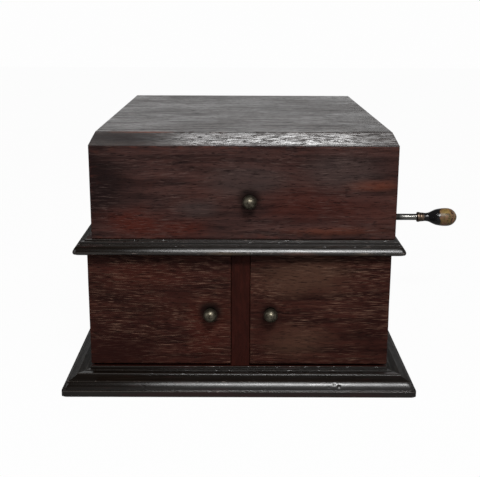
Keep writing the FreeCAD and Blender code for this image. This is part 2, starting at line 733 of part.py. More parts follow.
def stay_strip():
    """A quadrant strip about the lid's hinge, from the lid board down into the case, with a stop peg."""
    TOP_ANGLE = 14.0
    SLOT_ANGLE = math.degrees(math.asin(stay_drop.value / stay_near.value))
    PEG_RADIUS = 1.5
    PEG_LENGTH = 7.0
    peg_angle = s.lid_open.value + SLOT_ANGLE + 1.3
    end_angle = peg_angle + 1.6
    centre = Vector(stay_x[0].value, lid_axis_y.value, lid_axis_z.value)
    sweep = TOP_ANGLE + end_angle
    ring = Part.makeCylinder(stay_far.value, s.stay_thickness.value, Vector(), Vector(0, 0, 1), sweep)
    ring = ring.cut(Part.makeCylinder(stay_near.value, s.stay_thickness.value))
    toward_lid = Vector(0, -math.cos(math.radians(TOP_ANGLE)), math.sin(math.radians(TOP_ANGLE)))
    axis = Vector(1, 0, 0)
    ring.Placement = Placement(centre, Rotation(toward_lid, axis.cross(toward_lid), axis, "ZXY"))
    down = math.radians(peg_angle)
    peg_at = centre + Vector(0, -math.cos(down), -math.sin(down)) * s.stay_radius.value
    peg_at.x += s.stay_thickness.value / 2 - PEG_LENGTH / 2
    peg = Part.makeCylinder(PEG_RADIUS, PEG_LENGTH, peg_at, axis)
    return solid(ring.fuse(peg))


node(stay_strip(), "lid_stay")

# Crank: rod with two bends, and a handle that turns freely on its end
BUSH_FLANGE = 2.2
escutcheon_at = (half_width, s.crank_y, crank_z)
escutcheon = [
    (s.crank_radius + s.running_gap, -s.panel),
    (bush_radius, -s.panel),
    (bush_radius, 0),
    (s.escutcheon_radius, 0),
    (s.escutcheon_radius, 0.8, 0.25),
    (s.escutcheon_radius - 6.0, BUSH_FLANGE),
    (s.crank_radius + s.running_gap, BUSH_FLANGE),
]
node(turned(escutcheon, "X", escutcheon_at), "crank_escutcheon")

CROWN_TEETH = 42
WINDING_TEETH = 14
WINDING_MODULE = 1.25
PINION_WIDTH = 6.0
SHOULDER_GAP = 0.3
crown_radius = CROWN_TEETH * WINDING_MODULE / 2
pinion_start = s.barrel_x + crown_radius - PINION_WIDTH / 2
shaft_start = pinion_start - 3.0
arm_start = s.crank_y + s.crank_bend
arm_end = s.crank_y + s.crank_throw - s.crank_bend
handle_y = s.crank_y + s.crank_throw
first_bend = (s.crank_arm_x - s.crank_bend, arm_start, crank_z)
second_bend = (s.crank_arm_x + s.crank_bend, arm_end, crank_z)
stub_start = s.crank_arm_x + s.crank_bend
stub_end = s.ferrule_start - SHOULDER_GAP
HANDLE_PIN = 3.0
HANDLE_CAP = 9.0
handle_start = s.ferrule_start + s.ferrule_length
pin_end = handle_start + s.handle_length - HANDLE_CAP - SHOULDER_GAP
node(
    fuse(
        bar(s.crank_radius, "X", (shaft_start, s.crank_y, crank_z), first_bend[0] - shaft_start),
        quarter_bend(s.crank_radius, s.crank_bend, first_bend, Vector(0, -1, 0), Vector(1, 0, 0)),
        bar(s.crank_radius, "Y", (s.crank_arm_x, arm_start, crank_z), arm_end - arm_start),
        quarter_bend(s.crank_radius, s.crank_bend, second_bend, Vector(-1, 0, 0), Vector(0, 1, 0)),
        bar(s.crank_radius, "X", (stub_start, handle_y, crank_z), stub_end - stub_start),
        bar(HANDLE_PIN, "X", (stub_end, handle_y, crank_z), pin_end - stub_end),
    ),
    "crank_rod",
)
handle_bore = HANDLE_PIN + s.running_gap
ferrule = [
    (handle_bore, 0),
    (s.ferrule_radius - 1.0, 0),
    (s.ferrule_radius, 1.2),
    (s.ferrule_radius, 3.6, -0.4),
    (s.ferrule_radius - 0.3, s.ferrule_length - 3.0),
    (s.ferrule_radius - 0.6, s.ferrule_length),
    (handle_bore, s.ferrule_length),
]
node(turned(ferrule, "X", (s.ferrule_start, handle_y, crank_z)), "crank_ferrule")
neck = s.ferrule_radius - 1.2
handle = [
    (handle_bore, 0),
    (neck, 0, -0.05),
    (neck + 0.7, s.handle_length * 0.135, -0.07),
    (s.handle_radius - 2.9, s.handle_length * 0.295, 0.10),
    (s.handle_radius, s.handle_length * 0.53, 0.05),
    (s.handle_radius - 0.1, s.handle_length * 0.76, 0.20),
    (s.handle_radius - 4.6, s.handle_length * 0.915, 0.15),
    (FLAT, s.handle_length),
    (0, s.handle_length),
    (0, s.handle_length - HANDLE_CAP),
    (handle_bore, s.handle_length - HANDLE_CAP),
]
node(turned(handle, "X", (handle_start, handle_y, crank_z)), "crank_handle")

# Motor: gears on upright arbors between two plates
MODULE = 1.0
BARREL_MODULE = 1.25
BARREL_TEETH = 72
PINION_TEETH = 12
WHEEL_TEETH = 60
WORM_WHEEL_TEETH = 30
WORM_STARTS = 2
MESH_GAP = 0.15
ARBOR = 3.0
spindle_at = Vector(s.spindle_x.value, s.spindle_y.value, 0)
barrel_at = Vector(s.barrel_x.value, s.crank_y.value, 0)
wheel_reach = MODULE * (WHEEL_TEETH + PINION_TEETH) / 2 + MESH_GAP
barrel_reach = BARREL_MODULE * (BARREL_TEETH + PINION_TEETH) / 2 + MESH_GAP


def third_corner(first, second, first_reach, second_reach):
    """The point at given distances from two others, on the -Y side of the line between them."""
    line = second - first
    along = (first_reach ** 2 - second_reach ** 2 + line.Length ** 2) / (2 * line.Length)
    aside = math.sqrt(first_reach ** 2 - along ** 2)
    unit = line * (1 / line.Length)
    return first + unit * along + Vector(unit.y, -unit.x, 0) * aside


middle_at = third_corner(spindle_at, barrel_at, wheel_reach, barrel_reach)


def bearing(first, second):
    """The angle of the line from one arbor to another."""
    return math.atan2(second.y - first.y, second.x - first.x)


def gear(teeth, module, width, phase, bore):
    """A spur gear on Z from 0: straight-flanked teeth, with one tooth centred at the phase angle."""
    ROOT_HALF = 0.25
    TIP_HALF = 0.11
    radius = module * teeth / 2
    root = radius - 1.25 * module
    tip = radius + 0.95 * module
    pitch = 2 * math.pi / teeth
    corners = []
    for index in range(teeth):
        middle = phase + index * pitch
        for reach, share in ((root, -ROOT_HALF), (tip, -TIP_HALF), (tip, TIP_HALF), (root, ROOT_HALF)):
            angle = middle + share * pitch
            corners.append(Vector(reach * math.cos(angle), reach * math.sin(angle), 0))
    face = Part.Face(Part.makePolygon(corners + corners[:1]))
    blank = face.extrude(Vector(0, 0, width))
    return blank.cut(Part.makeCylinder(bore, width)) if bore else blank


def raised(shape, at, height):
    """A shape moved to an arbor and a height."""
    moved = shape.copy()
    moved.translate(Vector(at.x, at.y, height))
    return moved


def upright(radius, at, low, high):
    """A round arbor between two heights."""
    return Part.makeCylinder(radius, high - low, Vector(at.x, at.y, low))


plate_low = motor_bottom.value
plate_floor = plate_low + s.plate.value
ceiling = plate_top.value - s.plate.value
barrel_low = plate_floor + 3.0
barrel_high = barrel_low + s.barrel_height.value
crown_low = barrel_high + 2.0
wheel_low = crown_low + 9.0
governor_z = barrel_low + 11.0

# Winding: pinion on the crank's shaft, crown wheel on the barrel's arbor
tooth_down = gear(WINDING_TEETH, WINDING_MODULE, PINION_WIDTH, 0.0, s.crank_radius.value)
tooth_down.Placement = Placement(
    Vector(pinion_start.value, s.crank_y.value, crank_z.value),
    Rotation(Vector(0, 0, -1), Vector(0, -1, 0), Vector(1, 0, 0), "ZXY"),
)
node(solid(tooth_down), "winding_pinion")
HUB_RADIUS = 8.0


def crown_wheel():
    """A disc with upright radial teeth, on the arbor that winds the spring."""
    pitch_height = crank_z.value - WINDING_TEETH * WINDING_MODULE / 2 - MESH_GAP
    rim = pitch_height - 1.25 * WINDING_MODULE
    crest = pitch_height + 0.9 * WINDING_MODULE
    pitch = 2 * math.pi / CROWN_TEETH
    inner = crown_radius - PINION_WIDTH / 2 - 0.5
    outer = crown_radius + PINION_WIDTH / 2 + 0.5
    foot = 0.25 * pitch * crown_radius
    head_half = 0.11 * pitch * crown_radius
    section = [Vector(inner, -foot, rim - 0.4), Vector(inner, foot, rim - 0.4), Vector(inner, foot, rim),
               Vector(inner, head_half, crest), Vector(inner, -head_half, crest), Vector(inner, -foot, rim)]
    tooth = Part.Face(Part.makePolygon(section + section[:1])).extrude(Vector(outer - inner, 0, 0))
    teeth = []
    for index in range(CROWN_TEETH):
        turned_tooth = tooth.copy()
        turned_tooth.rotate(Vector(), Vector(0, 0, 1), math.degrees((index + 0.5) * pitch))
        turned_tooth.translate(barrel_at)
        teeth.append(turned_tooth)
    disc = upright(outer, barrel_at, crown_low, rim)
    shaft = upright(s.spindle_radius.value, barrel_at, plate_low, plate_top.value)
    hub = upright(HUB_RADIUS, barrel_at, barrel_low + 4.0, barrel_high - 3.0)
    return solid(disc.multiFuse(teeth + [shaft, hub]).removeSplitter())


node(crown_wheel(), "winding_wheel")

# Spring barrel and mainspring
BARREL_WALL = 1.5
BARREL_LID = 2.0
BARREL_FLOOR = 3.0
SPRING_SEAT = 0.2
barrel_bore = s.spindle_radius.value + s.running_gap.value
barrel_inside = s.barrel_radius.value - BARREL_WALL


def spring_barrel():
    """A hollow drum, open at its bore, with a gear round its foot."""
    low, high, radius = barrel_low, barrel_high, s.barrel_radius.value
    lid_under = high - BARREL_LID
    floor = low + BARREL_FLOOR
    outline = [(barrel_bore, low), (radius, low), (radius, high), (barrel_bore, high),
               (barrel_bore, lid_under), (barrel_inside, lid_under),
               (barrel_inside, floor), (barrel_bore, floor)]
    corners = [Vector(reach, 0, height) for reach, height in outline]
    drum = Part.Face(Part.makePolygon(corners + corners[:1])).revolve(Vector(), Vector(0, 0, 1), 360)
    phase = bearing(barrel_at, middle_at) + math.pi / BARREL_TEETH
    ring = gear(BARREL_TEETH, BARREL_MODULE, s.gear_width.value, phase, barrel_inside)
    ring.translate(Vector(0, 0, low))
    return solid(raised(drum.fuse(ring).removeSplitter(), barrel_at, 0))


node(spring_barrel(), "spring_barrel")


def mainspring():
    """A flat spiral of half circles, from the arbor's hub to the barrel's wall."""
    TURNS = 6
    STRIP = 0.8
    first = HUB_RADIUS + SPRING_SEAT
    pitch = (barrel_inside - SPRING_SEAT - STRIP - first) / TURNS
    edges = ([], [])
    for half in range(2 * TURNS):
        side = 1 if half % 2 else -1
        centre = Vector(side * pitch / 4, 0, 0)
        for rail, extra in zip(edges, (0.0, STRIP)):
            reach = first + pitch / 4 + half * pitch / 2 + extra
            start = centre - Vector(side * reach, 0, 0)
            middle = centre - Vector(0, side * reach, 0)
            end = centre + Vector(side * reach, 0, 0)
            rail.append(Part.Arc(start, middle, end).toShape())
    inner, outer = [Part.Wire(rail) for rail in edges]
    starts = [rail[0].valueAt(rail[0].FirstParameter) for rail in edges]
    stops = [rail[-1].valueAt(rail[-1].LastParameter) for rail in edges]
    caps = [Part.makeLine(*starts), Part.makeLine(*stops)]
    wire = Part.Wire(Part.__sortEdges__(inner.Edges + outer.Edges + caps))
    room = barrel_high - barrel_low - BARREL_LID - BARREL_FLOOR
    band = Part.Face(wire).extrude(Vector(0, 0, room - 2 * SPRING_SEAT))
    return solid(raised(band, barrel_at, barrel_low + BARREL_FLOOR + SPRING_SEAT))


node(mainspring(), "mainspring")

# Intermediate arbor: pinion on the barrel's gear, wheel on the spindle's pinion
middle_pinion = gear(PINION_TEETH, BARREL_MODULE, s.gear_width.value, bearing(middle_at, barrel_at), 0)
wheel_phase = bearing(middle_at, spindle_at) + math.pi / WHEEL_TEETH
middle_wheel = gear(WHEEL_TEETH, MODULE, s.gear_width.value - 1.0, wheel_phase, 0)
middle_arbor = upright(ARBOR, middle_at, plate_low, plate_top.value)
middle_parts = [raised(middle_pinion, middle_at, barrel_low), raised(middle_wheel, middle_at, wheel_low)]
node(solid(middle_arbor.multiFuse(middle_parts).removeSplitter()), "intermediate_gear")

# Spindle: bearing in both plates, pinion, worm wheel and record pin
platter_top = platter_bottom + s.platter_height
felt_top = platter_top + s.felt
WORM_RADIUS = 5.0
worm_wheel_width = 4.0
worm_reach = MODULE * WORM_WHEEL_TEETH / 2 + WORM_RADIUS + MESH_GAP
spindle_pinion = gear(PINION_TEETH, MODULE, s.gear_width.value + 1.0, bearing(spindle_at, middle_at), 0)
worm_wheel = gear(WORM_WHEEL_TEETH, MODULE, worm_wheel_width, math.pi + math.pi / WORM_WHEEL_TEETH, 0)
spindle_shaft = upright(s.spindle_radius.value, spindle_at, plate_low, felt_top.value)
record_pin = upright(s.pin_radius.value, spindle_at, felt_top.value, felt_top.value + s.pin_height.value)
pin_tip = [edge for edge in record_pin.Edges if edge.BoundBox.ZMin > felt_top.value + 1.0]
record_pin = record_pin.makeFillet(s.pin_radius.value * 0.6, pin_tip)
spindle_parts = [
    raised(spindle_pinion, spindle_at, wheel_low - 1.0),
    raised(worm_wheel, spindle_at, governor_z - worm_wheel_width / 2),
    record_pin,
]
node(solid(spindle_shaft.multiFuse(spindle_parts).removeSplitter()), "spindle")

# Turntable and felt
spindle_foot = (s.spindle_x, s.spindle_y, platter_bottom)
platter = [
    (s.spindle_radius, -4.0),
    (s.spindle_radius + 9.0, -4.0),
    (s.spindle_radius + 10.0, s.platter_height - 4.5),
    (s.platter_radius - 12.0, s.platter_height - 3.5),
    (s.platter_radius - 4.0, s.platter_height - 5.0),
    (s.platter_radius - 3.0, 0),
    (s.platter_radius, 0),
    (s.platter_radius, s.platter_height - 2.5, 0.41),
    (s.platter_radius - 2.5, s.platter_height),
    (s.spindle_radius, s.platter_height),
]
node(turned(platter, "Z", spindle_foot), "turntable")
felt_disc = [
    (s.spindle_radius + 2.0, s.platter_height),
    (s.platter_radius - 3.0, s.platter_height),
    (s.platter_radius - 3.0, s.platter_height + s.felt),
    (s.spindle_radius + 2.0, s.platter_height + s.felt),
]
node(turned(felt_disc, "Z", spindle_foot), "turntable_felt")

# Governor: worm, two collars, three bowed springs with balls, and the brake disc
governor_x = spindle_at.x - worm_reach
SPRING_START = 20.0
SPRING_SPAN = 46.0
COLLAR = 5.0
BRACKET = 4.0
GOVERNOR_SHAFT = 2.5
near_bracket = spindle_at.y - 17.0
far_bracket = spindle_at.y + SPRING_START + SPRING_SPAN + 15.0


def worm():
    """A worm on Z, centred at 0: helical threads on a core, with a thread facing +X in the middle."""
    THREAD_LENGTH = 14.0
    core = WORM_RADIUS - 1.2
    lead = WORM_STARTS * math.pi * MODULE
    section = Part.makePolygon([
        Vector(core - 0.3, 0, -0.62),
        Vector(WORM_RADIUS + 0.85, 0, -0.26),
        Vector(WORM_RADIUS + 0.85, 0, 0.26),
        Vector(core - 0.3, 0, 0.62),
        Vector(core - 0.3, 0, -0.62),
    ])
    helix = Part.Wire(Part.makeHelix(lead, THREAD_LENGTH, core).Edges)
    thread = helix.makePipeShell([section], True, True)
    thread.translate(Vector(0, 0, -THREAD_LENGTH / 2))
    thread.rotate(Vector(), Vector(0, 0, 1), -360 * THREAD_LENGTH / 2 / lead)
    threads = []
    for start in range(WORM_STARTS):
        copy = thread.copy()
        copy.rotate(Vector(), Vector(0, 0, 1), start * 360 / WORM_STARTS)
        threads.append(copy)
    blank = Part.makeCylinder(core, THREAD_LENGTH + 4.0, Vector(0, 0, -THREAD_LENGTH / 2 - 2.0))
    return blank.multiFuse(threads)


def governor():
    """The governor on Z, with its worm centred at 0, then laid along Y."""
    BOW = 10.0
    STRIP = 0.6
    STRIP_WIDTH = 6.0
    BALL = 6.0
    start, end = SPRING_START, SPRING_START + SPRING_SPAN
    middle = (start + end) / 2
    seat = COLLAR + 0.5
    rails = []
    for extra in (0.0, STRIP):
        bottom, crown, top = [Vector(reach + extra, -STRIP_WIDTH / 2, height) for reach, height in
                              ((seat, start), (seat + BOW, middle), (seat, end))]
        rails.append(Part.Arc(bottom, crown, top).toShape())
    inner, outer = rails
    caps = [Part.makeLine(inner.valueAt(edge), outer.valueAt(other)) for edge, other in
            ((inner.FirstParameter, outer.FirstParameter), (inner.LastParameter, outer.LastParameter))]
    strip = Part.Face(Part.Wire(Part.__sortEdges__([inner, outer, *caps]))).extrude(Vector(0, STRIP_WIDTH, 0))
    weight = strip.fuse(Part.makeSphere(BALL, Vector(seat + BOW + BALL * 0.6, 0, middle)))
    weights = []
    for index in range(3):
        copy = weight.copy()
        copy.rotate(Vector(), Vector(0, 0, 1), 120 * index + 60)
        weights.append(copy)
    low = near_bracket - BRACKET / 2 - spindle_at.y
    high = far_bracket + BRACKET / 2 - spindle_at.y
    pieces = [
        worm(),
        Part.makeCylinder(seat + 1.5, COLLAR, Vector(0, 0, start - 2.0)),
        Part.makeCylinder(seat + 1.5, COLLAR, Vector(0, 0, end - 3.0)),
        Part.makeCylinder(15.0, 2.0, Vector(0, 0, end + 2.0)),
    ]
    whole = Part.makeCylinder(GOVERNOR_SHAFT, high - low, Vector(0, 0, low)).multiFuse(pieces + weights)
    whole.Placement = Placement(
        Vector(governor_x, spindle_at.y, governor_z),
        Rotation(Vector(1, 0, 0), Vector(0, 0, -1), Vector(0, 1, 0), "ZXY"),
    )
    return solid(whole)


node(governor(), "governor")

# Motor plates, pillars and bearings
PLATE_CORNER = 10.0
PILLAR = 4.5
PILLAR_STUD = 3.0
PILLAR_INSET = 9.0
PLATE_LEFT = 58.0
PLATE_RIGHT = 55.0
PLATE_NEAR = 53.0
PLATE_FAR = 78.0
plate_x = (s.spindle_x - PLATE_LEFT, s.barrel_x + PLATE_RIGHT)
plate_y = (s.spindle_y - PLATE_NEAR, s.crank_y + PLATE_FAR)
pillar_places = [(x, y) for x in (plate_x[0] + PILLAR_INSET, plate_x[1] - PILLAR_INSET)
                 for y in (plate_y[0] + PILLAR_INSET, plate_y[1] - PILLAR_INSET)]


def is_upright(edge):
    """Whether an edge runs straight up."""
    return abs(edge.tangentAt(edge.FirstParameter).z) > 0.99


def arbor_holes(low):
    """Bearing holes of the three upright arbors through one plate."""
    places = ((spindle_at, s.spindle_radius), (barrel_at, s.spindle_radius), (middle_at, ARBOR))
    return [bar(radius + s.running_gap, "Z", (at.x, at.y, low), s.plate) for at, radius in places]


top_low = plate_top - s.plate
top_plate = eased(block(plate_x, plate_y, (top_low, plate_top)), PLATE_CORNER, is_upright)
lug_x = pinion_start + PINION_WIDTH + 3.0
LUG = 6.0
lug_half = s.crank_radius + 4.0
lug_y = (s.crank_y - lug_half, s.crank_y + lug_half)
lug = block((lug_x, lug_x + LUG), lug_y, (crank_z - lug_half, top_low))
lug_hole = bar(s.crank_radius + s.running_gap, "X", (lug_x, s.crank_y, crank_z), LUG)
stud_holes = [bar(PILLAR_STUD, "Z", (x, y, top_low), s.plate) for x, y in pillar_places]
node(cut(fuse(top_plate, lug), lug_hole, *arbor_holes(top_low), *stud_holes), "motor_top_plate")

bottom_top = motor_bottom + s.plate
bottom_plate = eased(block(plate_x, plate_y, (motor_bottom, bottom_top)), PLATE_CORNER, is_upright)
BRACKET_HALF = 7.0
lugs = []
lug_holes = []
for place_y in (near_bracket, far_bracket):
    along = (place_y - BRACKET / 2, place_y + BRACKET / 2)
    across = (governor_x - BRACKET_HALF, governor_x + BRACKET_HALF)
    lugs.append(block(across, along, (motor_bottom, governor_z + BRACKET_HALF)))
    lug_holes.append(bar(GOVERNOR_SHAFT + s.running_gap, "Y", (governor_x, along[0], governor_z), BRACKET))
WINDOW_HALF = 26.0
window_y = (spindle_at.y + SPRING_START - 6.0, far_bracket - BRACKET)
window = block((governor_x - WINDOW_HALF, governor_x + WINDOW_HALF), window_y, (motor_bottom, bottom_top))
pierced = cut(bottom_plate, window)
node(cut(fuse(pierced, *lugs), *lug_holes, *arbor_holes(motor_bottom)), "motor_bottom_plate")

WASHER = 8.0
pillar_outline = [
    (0, bottom_top),
    (PILLAR, bottom_top),
    (PILLAR, top_low),
    (PILLAR_STUD, top_low),
    (PILLAR_STUD, plate_top),
    (WASHER, plate_top),
    (WASHER, deck_bottom),
    (0, deck_bottom),
]
node(group(*[turned(pillar_outline, "Z", (x, y, 0)) for x, y in pillar_places]), "motor_pillars")

# Motor board fittings: needle cups, screws, brake, speed lever and its dial
CUP_WALL = 1.2
CUP_DEPTH = 11.0
cup = [
    (0, -CUP_DEPTH),
    (CUP_RADIUS - 5.0, -CUP_DEPTH, 0.3),
    (CUP_RADIUS, -CUP_DEPTH + 5.0),
    (CUP_RADIUS, 0),
    (CUP_RADIUS + 3.0, 0),
    (CUP_RADIUS + 2.4, 1.2),
    (CUP_RADIUS - CUP_WALL, 1.2),
    (CUP_RADIUS - CUP_WALL, -CUP_DEPTH + 5.0, -0.3),
    (CUP_RADIUS - 5.0 - CUP_WALL, -CUP_DEPTH + CUP_WALL),
    (0, -CUP_DEPTH + CUP_WALL),
]
node(group(*[turned(cup, "Z", (x, y, deck_top)) for x, y in cup_places]), "needle_cups")

LEVER_LOW = 12.0
LEVER = 2.5
screw = [
    (0, -s.deck_thickness),
    (SCREW_RADIUS, -s.deck_thickness),
    (SCREW_RADIUS, 0),
    (SCREW_RADIUS * 2.4, 0, 0.36),
    (FLAT, SCREW_RADIUS * 1.3),
    (0, SCREW_RADIUS * 1.3),
]
stud = [
    (0, -s.deck_thickness),
    (SCREW_RADIUS, -s.deck_thickness),
    (SCREW_RADIUS, 0),
    (6.0, 0),
    (5.0, LEVER_LOW - 0.3),
    (STEM_RADIUS, LEVER_LOW - 0.3),
    (STEM_RADIUS, LEVER_LOW + LEVER + 0.3),
    (5.0, LEVER_LOW + LEVER + 0.3),
    (4.0, LEVER_LOW + LEVER + 2.0),
    (0, LEVER_LOW + LEVER + 2.4),
]
screws = [turned(screw, "Z", (x, y, deck_top)) for x, y in screw_places]
node(group(*screws, turned(stud, "Z", (brake_x, brake_y, deck_top))), "deck_screws")


def brake_lever():
    """A flat lever on the stud: a tab with a pad by the platter's rim, and a thumb end."""
    HALF = 5.0
    THUMB = 40.0
    TAB = 2.0
    TAB_HALF = 9.0
    TAB_HEIGHT = 9.0
    PAD_HALF = 6.0
    PAD_HEIGHT = 8.0
    ELBOW_NEAR = 12.0
    ELBOW_FAR = 16.0
    ELBOW_OUT = 8.0
    THUMB_RADIUS = 7.0
    low = deck_top.value + LEVER_LOW
    rim_at = Vector(s.spindle_x.value, s.spindle_y.value, low) + rim_out * pad_radius.value
    stud_at = rim_at + rim_along * BRAKE_REACH
    thumb_at = stud_at + rim_along * THUMB
    tab_end = rim_at - rim_along * TAB_HALF
    tab_start = rim_at + rim_along * TAB_HALF
    tab_base = [tab_end, tab_start, tab_start + rim_out * TAB, tab_end + rim_out * TAB]
    flat = [tab_end, tab_end + rim_out * TAB, rim_at + rim_along * ELBOW_NEAR + rim_out * ELBOW_OUT,
            stud_at + rim_out * HALF, thumb_at + rim_out * HALF, thumb_at - rim_out * HALF,
            stud_at - rim_out * HALF, rim_at + rim_along * ELBOW_FAR]
    strip = Part.Face(Part.makePolygon(flat + flat[:1])).extrude(Vector(0, 0, LEVER))
    tab = Part.Face(Part.makePolygon(tab_base + tab_base[:1])).extrude(Vector(0, 0, TAB_HEIGHT))
    hole = Part.makeCylinder(STEM_RADIUS + s.running_gap.value, LEVER, stud_at)
    thumb = Part.makeCylinder(THUMB_RADIUS, LEVER, thumb_at)
    lever = strip.multiFuse([tab, thumb]).cut(hole).removeSplitter()
    pad_base = [rim_at - rim_along * PAD_HALF, rim_at + rim_along * PAD_HALF]
    pad_base += [point - rim_out * PAD for point in reversed(pad_base)]
    pad = Part.Face(Part.makePolygon(pad_base + pad_base[:1])).extrude(Vector(0, 0, PAD_HEIGHT))
    return solid(Part.makeCompound([lever, pad]))


node(brake_lever(), "brake_lever")

DIAL = 24.0
DIAL_THICKNESS = 1.2
dial = [(STEM_RADIUS + 0.3, 0), (DIAL, 0), (DIAL - 0.6, DIAL_THICKNESS), (STEM_RADIUS + 0.3, DIAL_THICKNESS)]
node(turned(dial, "Z", (speed_x, speed_y, deck_top)), "speed_dial")
pointer_low = deck_top + DIAL_THICKNESS + SHOULDER_GAP
LEVER_KNOB = 14.0
COLLAR_RADIUS = 6.0
COLLAR_HEIGHT = 5.0
stem_low = -s.deck_thickness - COLLAR_HEIGHT
stem_neck = -s.deck_thickness - SHOULDER_GAP
knob_low = DIAL_THICKNESS + SHOULDER_GAP
knob_high = knob_low + LEVER_KNOB
lever_stem = [
    (0, stem_low),
    (COLLAR_RADIUS, stem_low),
    (COLLAR_RADIUS, stem_neck),
    (STEM_RADIUS, stem_neck),
    (STEM_RADIUS, knob_low),
    (COLLAR_RADIUS * 1.33, knob_low),
    (COLLAR_RADIUS * 1.33, knob_low + LEVER_KNOB / 7),
    (COLLAR_RADIUS * 0.83, knob_low + LEVER_KNOB / 2),
    (COLLAR_RADIUS, knob_low + LEVER_KNOB * 6 / 7, 0.3),
    (FLAT, knob_high),
    (0, knob_high),
]
POINTER = 21.0
POINTER_ROOT = 4.0
POINTER_TIP = 1.0
POINTER_THICKNESS = 1.6
pointer_plan = [
    (speed_x - POINTER_ROOT, speed_y),
    (speed_x - POINTER_TIP, speed_y - POINTER),
    (speed_x + POINTER_TIP, speed_y - POINTER),
    (speed_x + POINTER_ROOT, speed_y),
]
pointer = prism("Z", pointer_plan, pointer_low, pointer_low + POINTER_THICKNESS)
node(fuse(turned(lever_stem, "Z", (speed_x, speed_y, deck_top)), pointer), "speed_lever")

# Tonearm: base, swivelling tube, goose neck and soundbox, laid out along the parked arm
park = math.radians(s.arm_park.value)
along_arm = Vector(math.sin(park), -math.cos(park), 0)
across_arm = Vector(math.cos(park), math.sin(park), 0)
arm_z = deck_top + s.tonearm_rise


def arm_point(along, across, up):
    """A place measured from the tonearm's pivot: along the arm, to its right, and up from its axis."""
    x = s.tonearm_x + as_dim(along) * along_arm.x + as_dim(across) * across_arm.x
    y = s.tonearm_y + as_dim(along) * along_arm.y + as_dim(across) * across_arm.y
    return (x, y, arm_z + up)


ARM_ROOT = 16.0
ARM_TIP = 10.5
ARM_WALL = 1.5
ARM_BEND = 28.0
LEG_DEPTH = 22.0
COLUMN = 32.0
NECK_REACH = 44.0
arm_tip = s.needle_forward - NECK_REACH
leg_low = deck_top + COLUMN - LEG_DEPTH
base_outline = [
    (ARM_ROOT - ARM_WALL, 0),
    (s.elbow_radius + 14.0, 0),
    (s.elbow_radius + 14.0, 2.5, 0.3),
    (s.elbow_radius + 11.0, 4.5),
    (ARM_ROOT + 7.0, 6.0, -0.35),
    (ARM_ROOT + 3.5, 14.0),
    (ARM_ROOT + 3.5, COLUMN - 4.0),
    (ARM_ROOT + 5.0, COLUMN - 3.0, 0.4),
    (ARM_ROOT + 4.0, COLUMN),
    (ARM_ROOT + s.running_gap, COLUMN),
    (ARM_ROOT + s.running_gap, COLUMN - LEG_DEPTH - 0.3),
    (ARM_ROOT - ARM_WALL, COLUMN - LEG_DEPTH - 0.3),
]
node(turned(base_outline, "Z", (s.tonearm_x, s.tonearm_y, deck_top)), "tonearm_base")


def arm_core(wall):
    """The tonearm's upright leg, quarter bend and tapered tube, less a wall."""
    root = ARM_ROOT - wall
    leg = bar(root, "Z", (s.tonearm_x, s.tonearm_y, leg_low), arm_z - ARM_BEND - leg_low)
    bend = quarter_bend(root, ARM_BEND, arm_point(ARM_BEND, 0, -ARM_BEND), along_arm * -1, AXES["Z"])
    taper = doc.addObject("Part::Cone", "Taper")
    taper.setExpression("Radius1", as_dim(root).text)
    taper.setExpression("Radius2", as_dim(ARM_TIP - wall).text)
    taper.setExpression("Height", (arm_tip - ARM_BEND).text)
    place(taper, arm_point(ARM_BEND, 0, 0), Rotation(AXES["Z"], along_arm))
    return fuse(leg, bend, taper)


NECK = 8.0
NECK_WALL = 1.4
NECK_BEND = 20.0
SOCKET = 18.0
socket_start = arm_tip - SOCKET
socket_bore = bar(NECK + s.running_gap, along_arm, arm_point(socket_start, 0, 0), SOCKET)
node(cut(arm_core(0.0), arm_core(ARM_WALL), socket_bore), "tonearm")


def neck_core(radius):
    """The goose neck: out of the arm's socket, then a quarter bend to the soundbox."""
    turn = s.needle_forward - NECK_BEND
    straight = bar(radius, along_arm, arm_point(socket_start, 0, 0), turn - socket_start)
    bend = quarter_bend(radius, NECK_BEND, arm_point(turn, NECK_BEND, 0), across_arm * -1, along_arm)
    stub = bar(radius, across_arm, arm_point(s.needle_forward, NECK_BEND, 0), s.soundbox_offset - NECK_BEND)
    return fuse(straight, bend, stub)


node(cut(neck_core(NECK), neck_core(NECK - NECK_WALL)), "goose_neck")

box_at = arm_point(s.needle_forward, s.soundbox_offset, 0)
rim = s.soundbox_radius
bore = NECK - NECK_WALL
case_outline = [
    (bore, 0),
    (NECK + 3.0, 0),
    (NECK + 3.0, 3.0),
    (rim - 2.0, 3.0),
    (rim, 5.0),
    (rim, s.soundbox_depth - 2.5, 0.41),
    (rim - 2.5, s.soundbox_depth),
    (rim - 4.5, s.soundbox_depth),
    (rim - 5.5, s.soundbox_depth - 1.4),
    (rim - 5.5, s.soundbox_depth - 3.4),
    (rim - 3.0, s.soundbox_depth - 3.4),
    (rim - 3.0, 5.5),
    (bore, 5.5),
]
node(turned(case_outline, across_arm, box_at), "soundbox_case")
DIAPHRAGM = 0.4
mica_start = s.soundbox_depth - 3.4 - DIAPHRAGM
mica_end = mica_start + DIAPHRAGM
mica = [(0, mica_start), (rim - 3.0, mica_start), (rim - 3.0, mica_end), (0, mica_end)]
node(turned(mica, across_arm, box_at), "diaphragm")

BAR_OUT = 3.6
CHUCK = 3.0
NEEDLE = 0.8
chuck_across = s.soundbox_offset + s.soundbox_depth + BAR_OUT
chuck_top = -rim + 5.0
chuck_low = -rim - 5.0
needle_low = felt_top + 2.3 - arm_z
link_start = s.soundbox_offset + s.soundbox_depth - 3.4


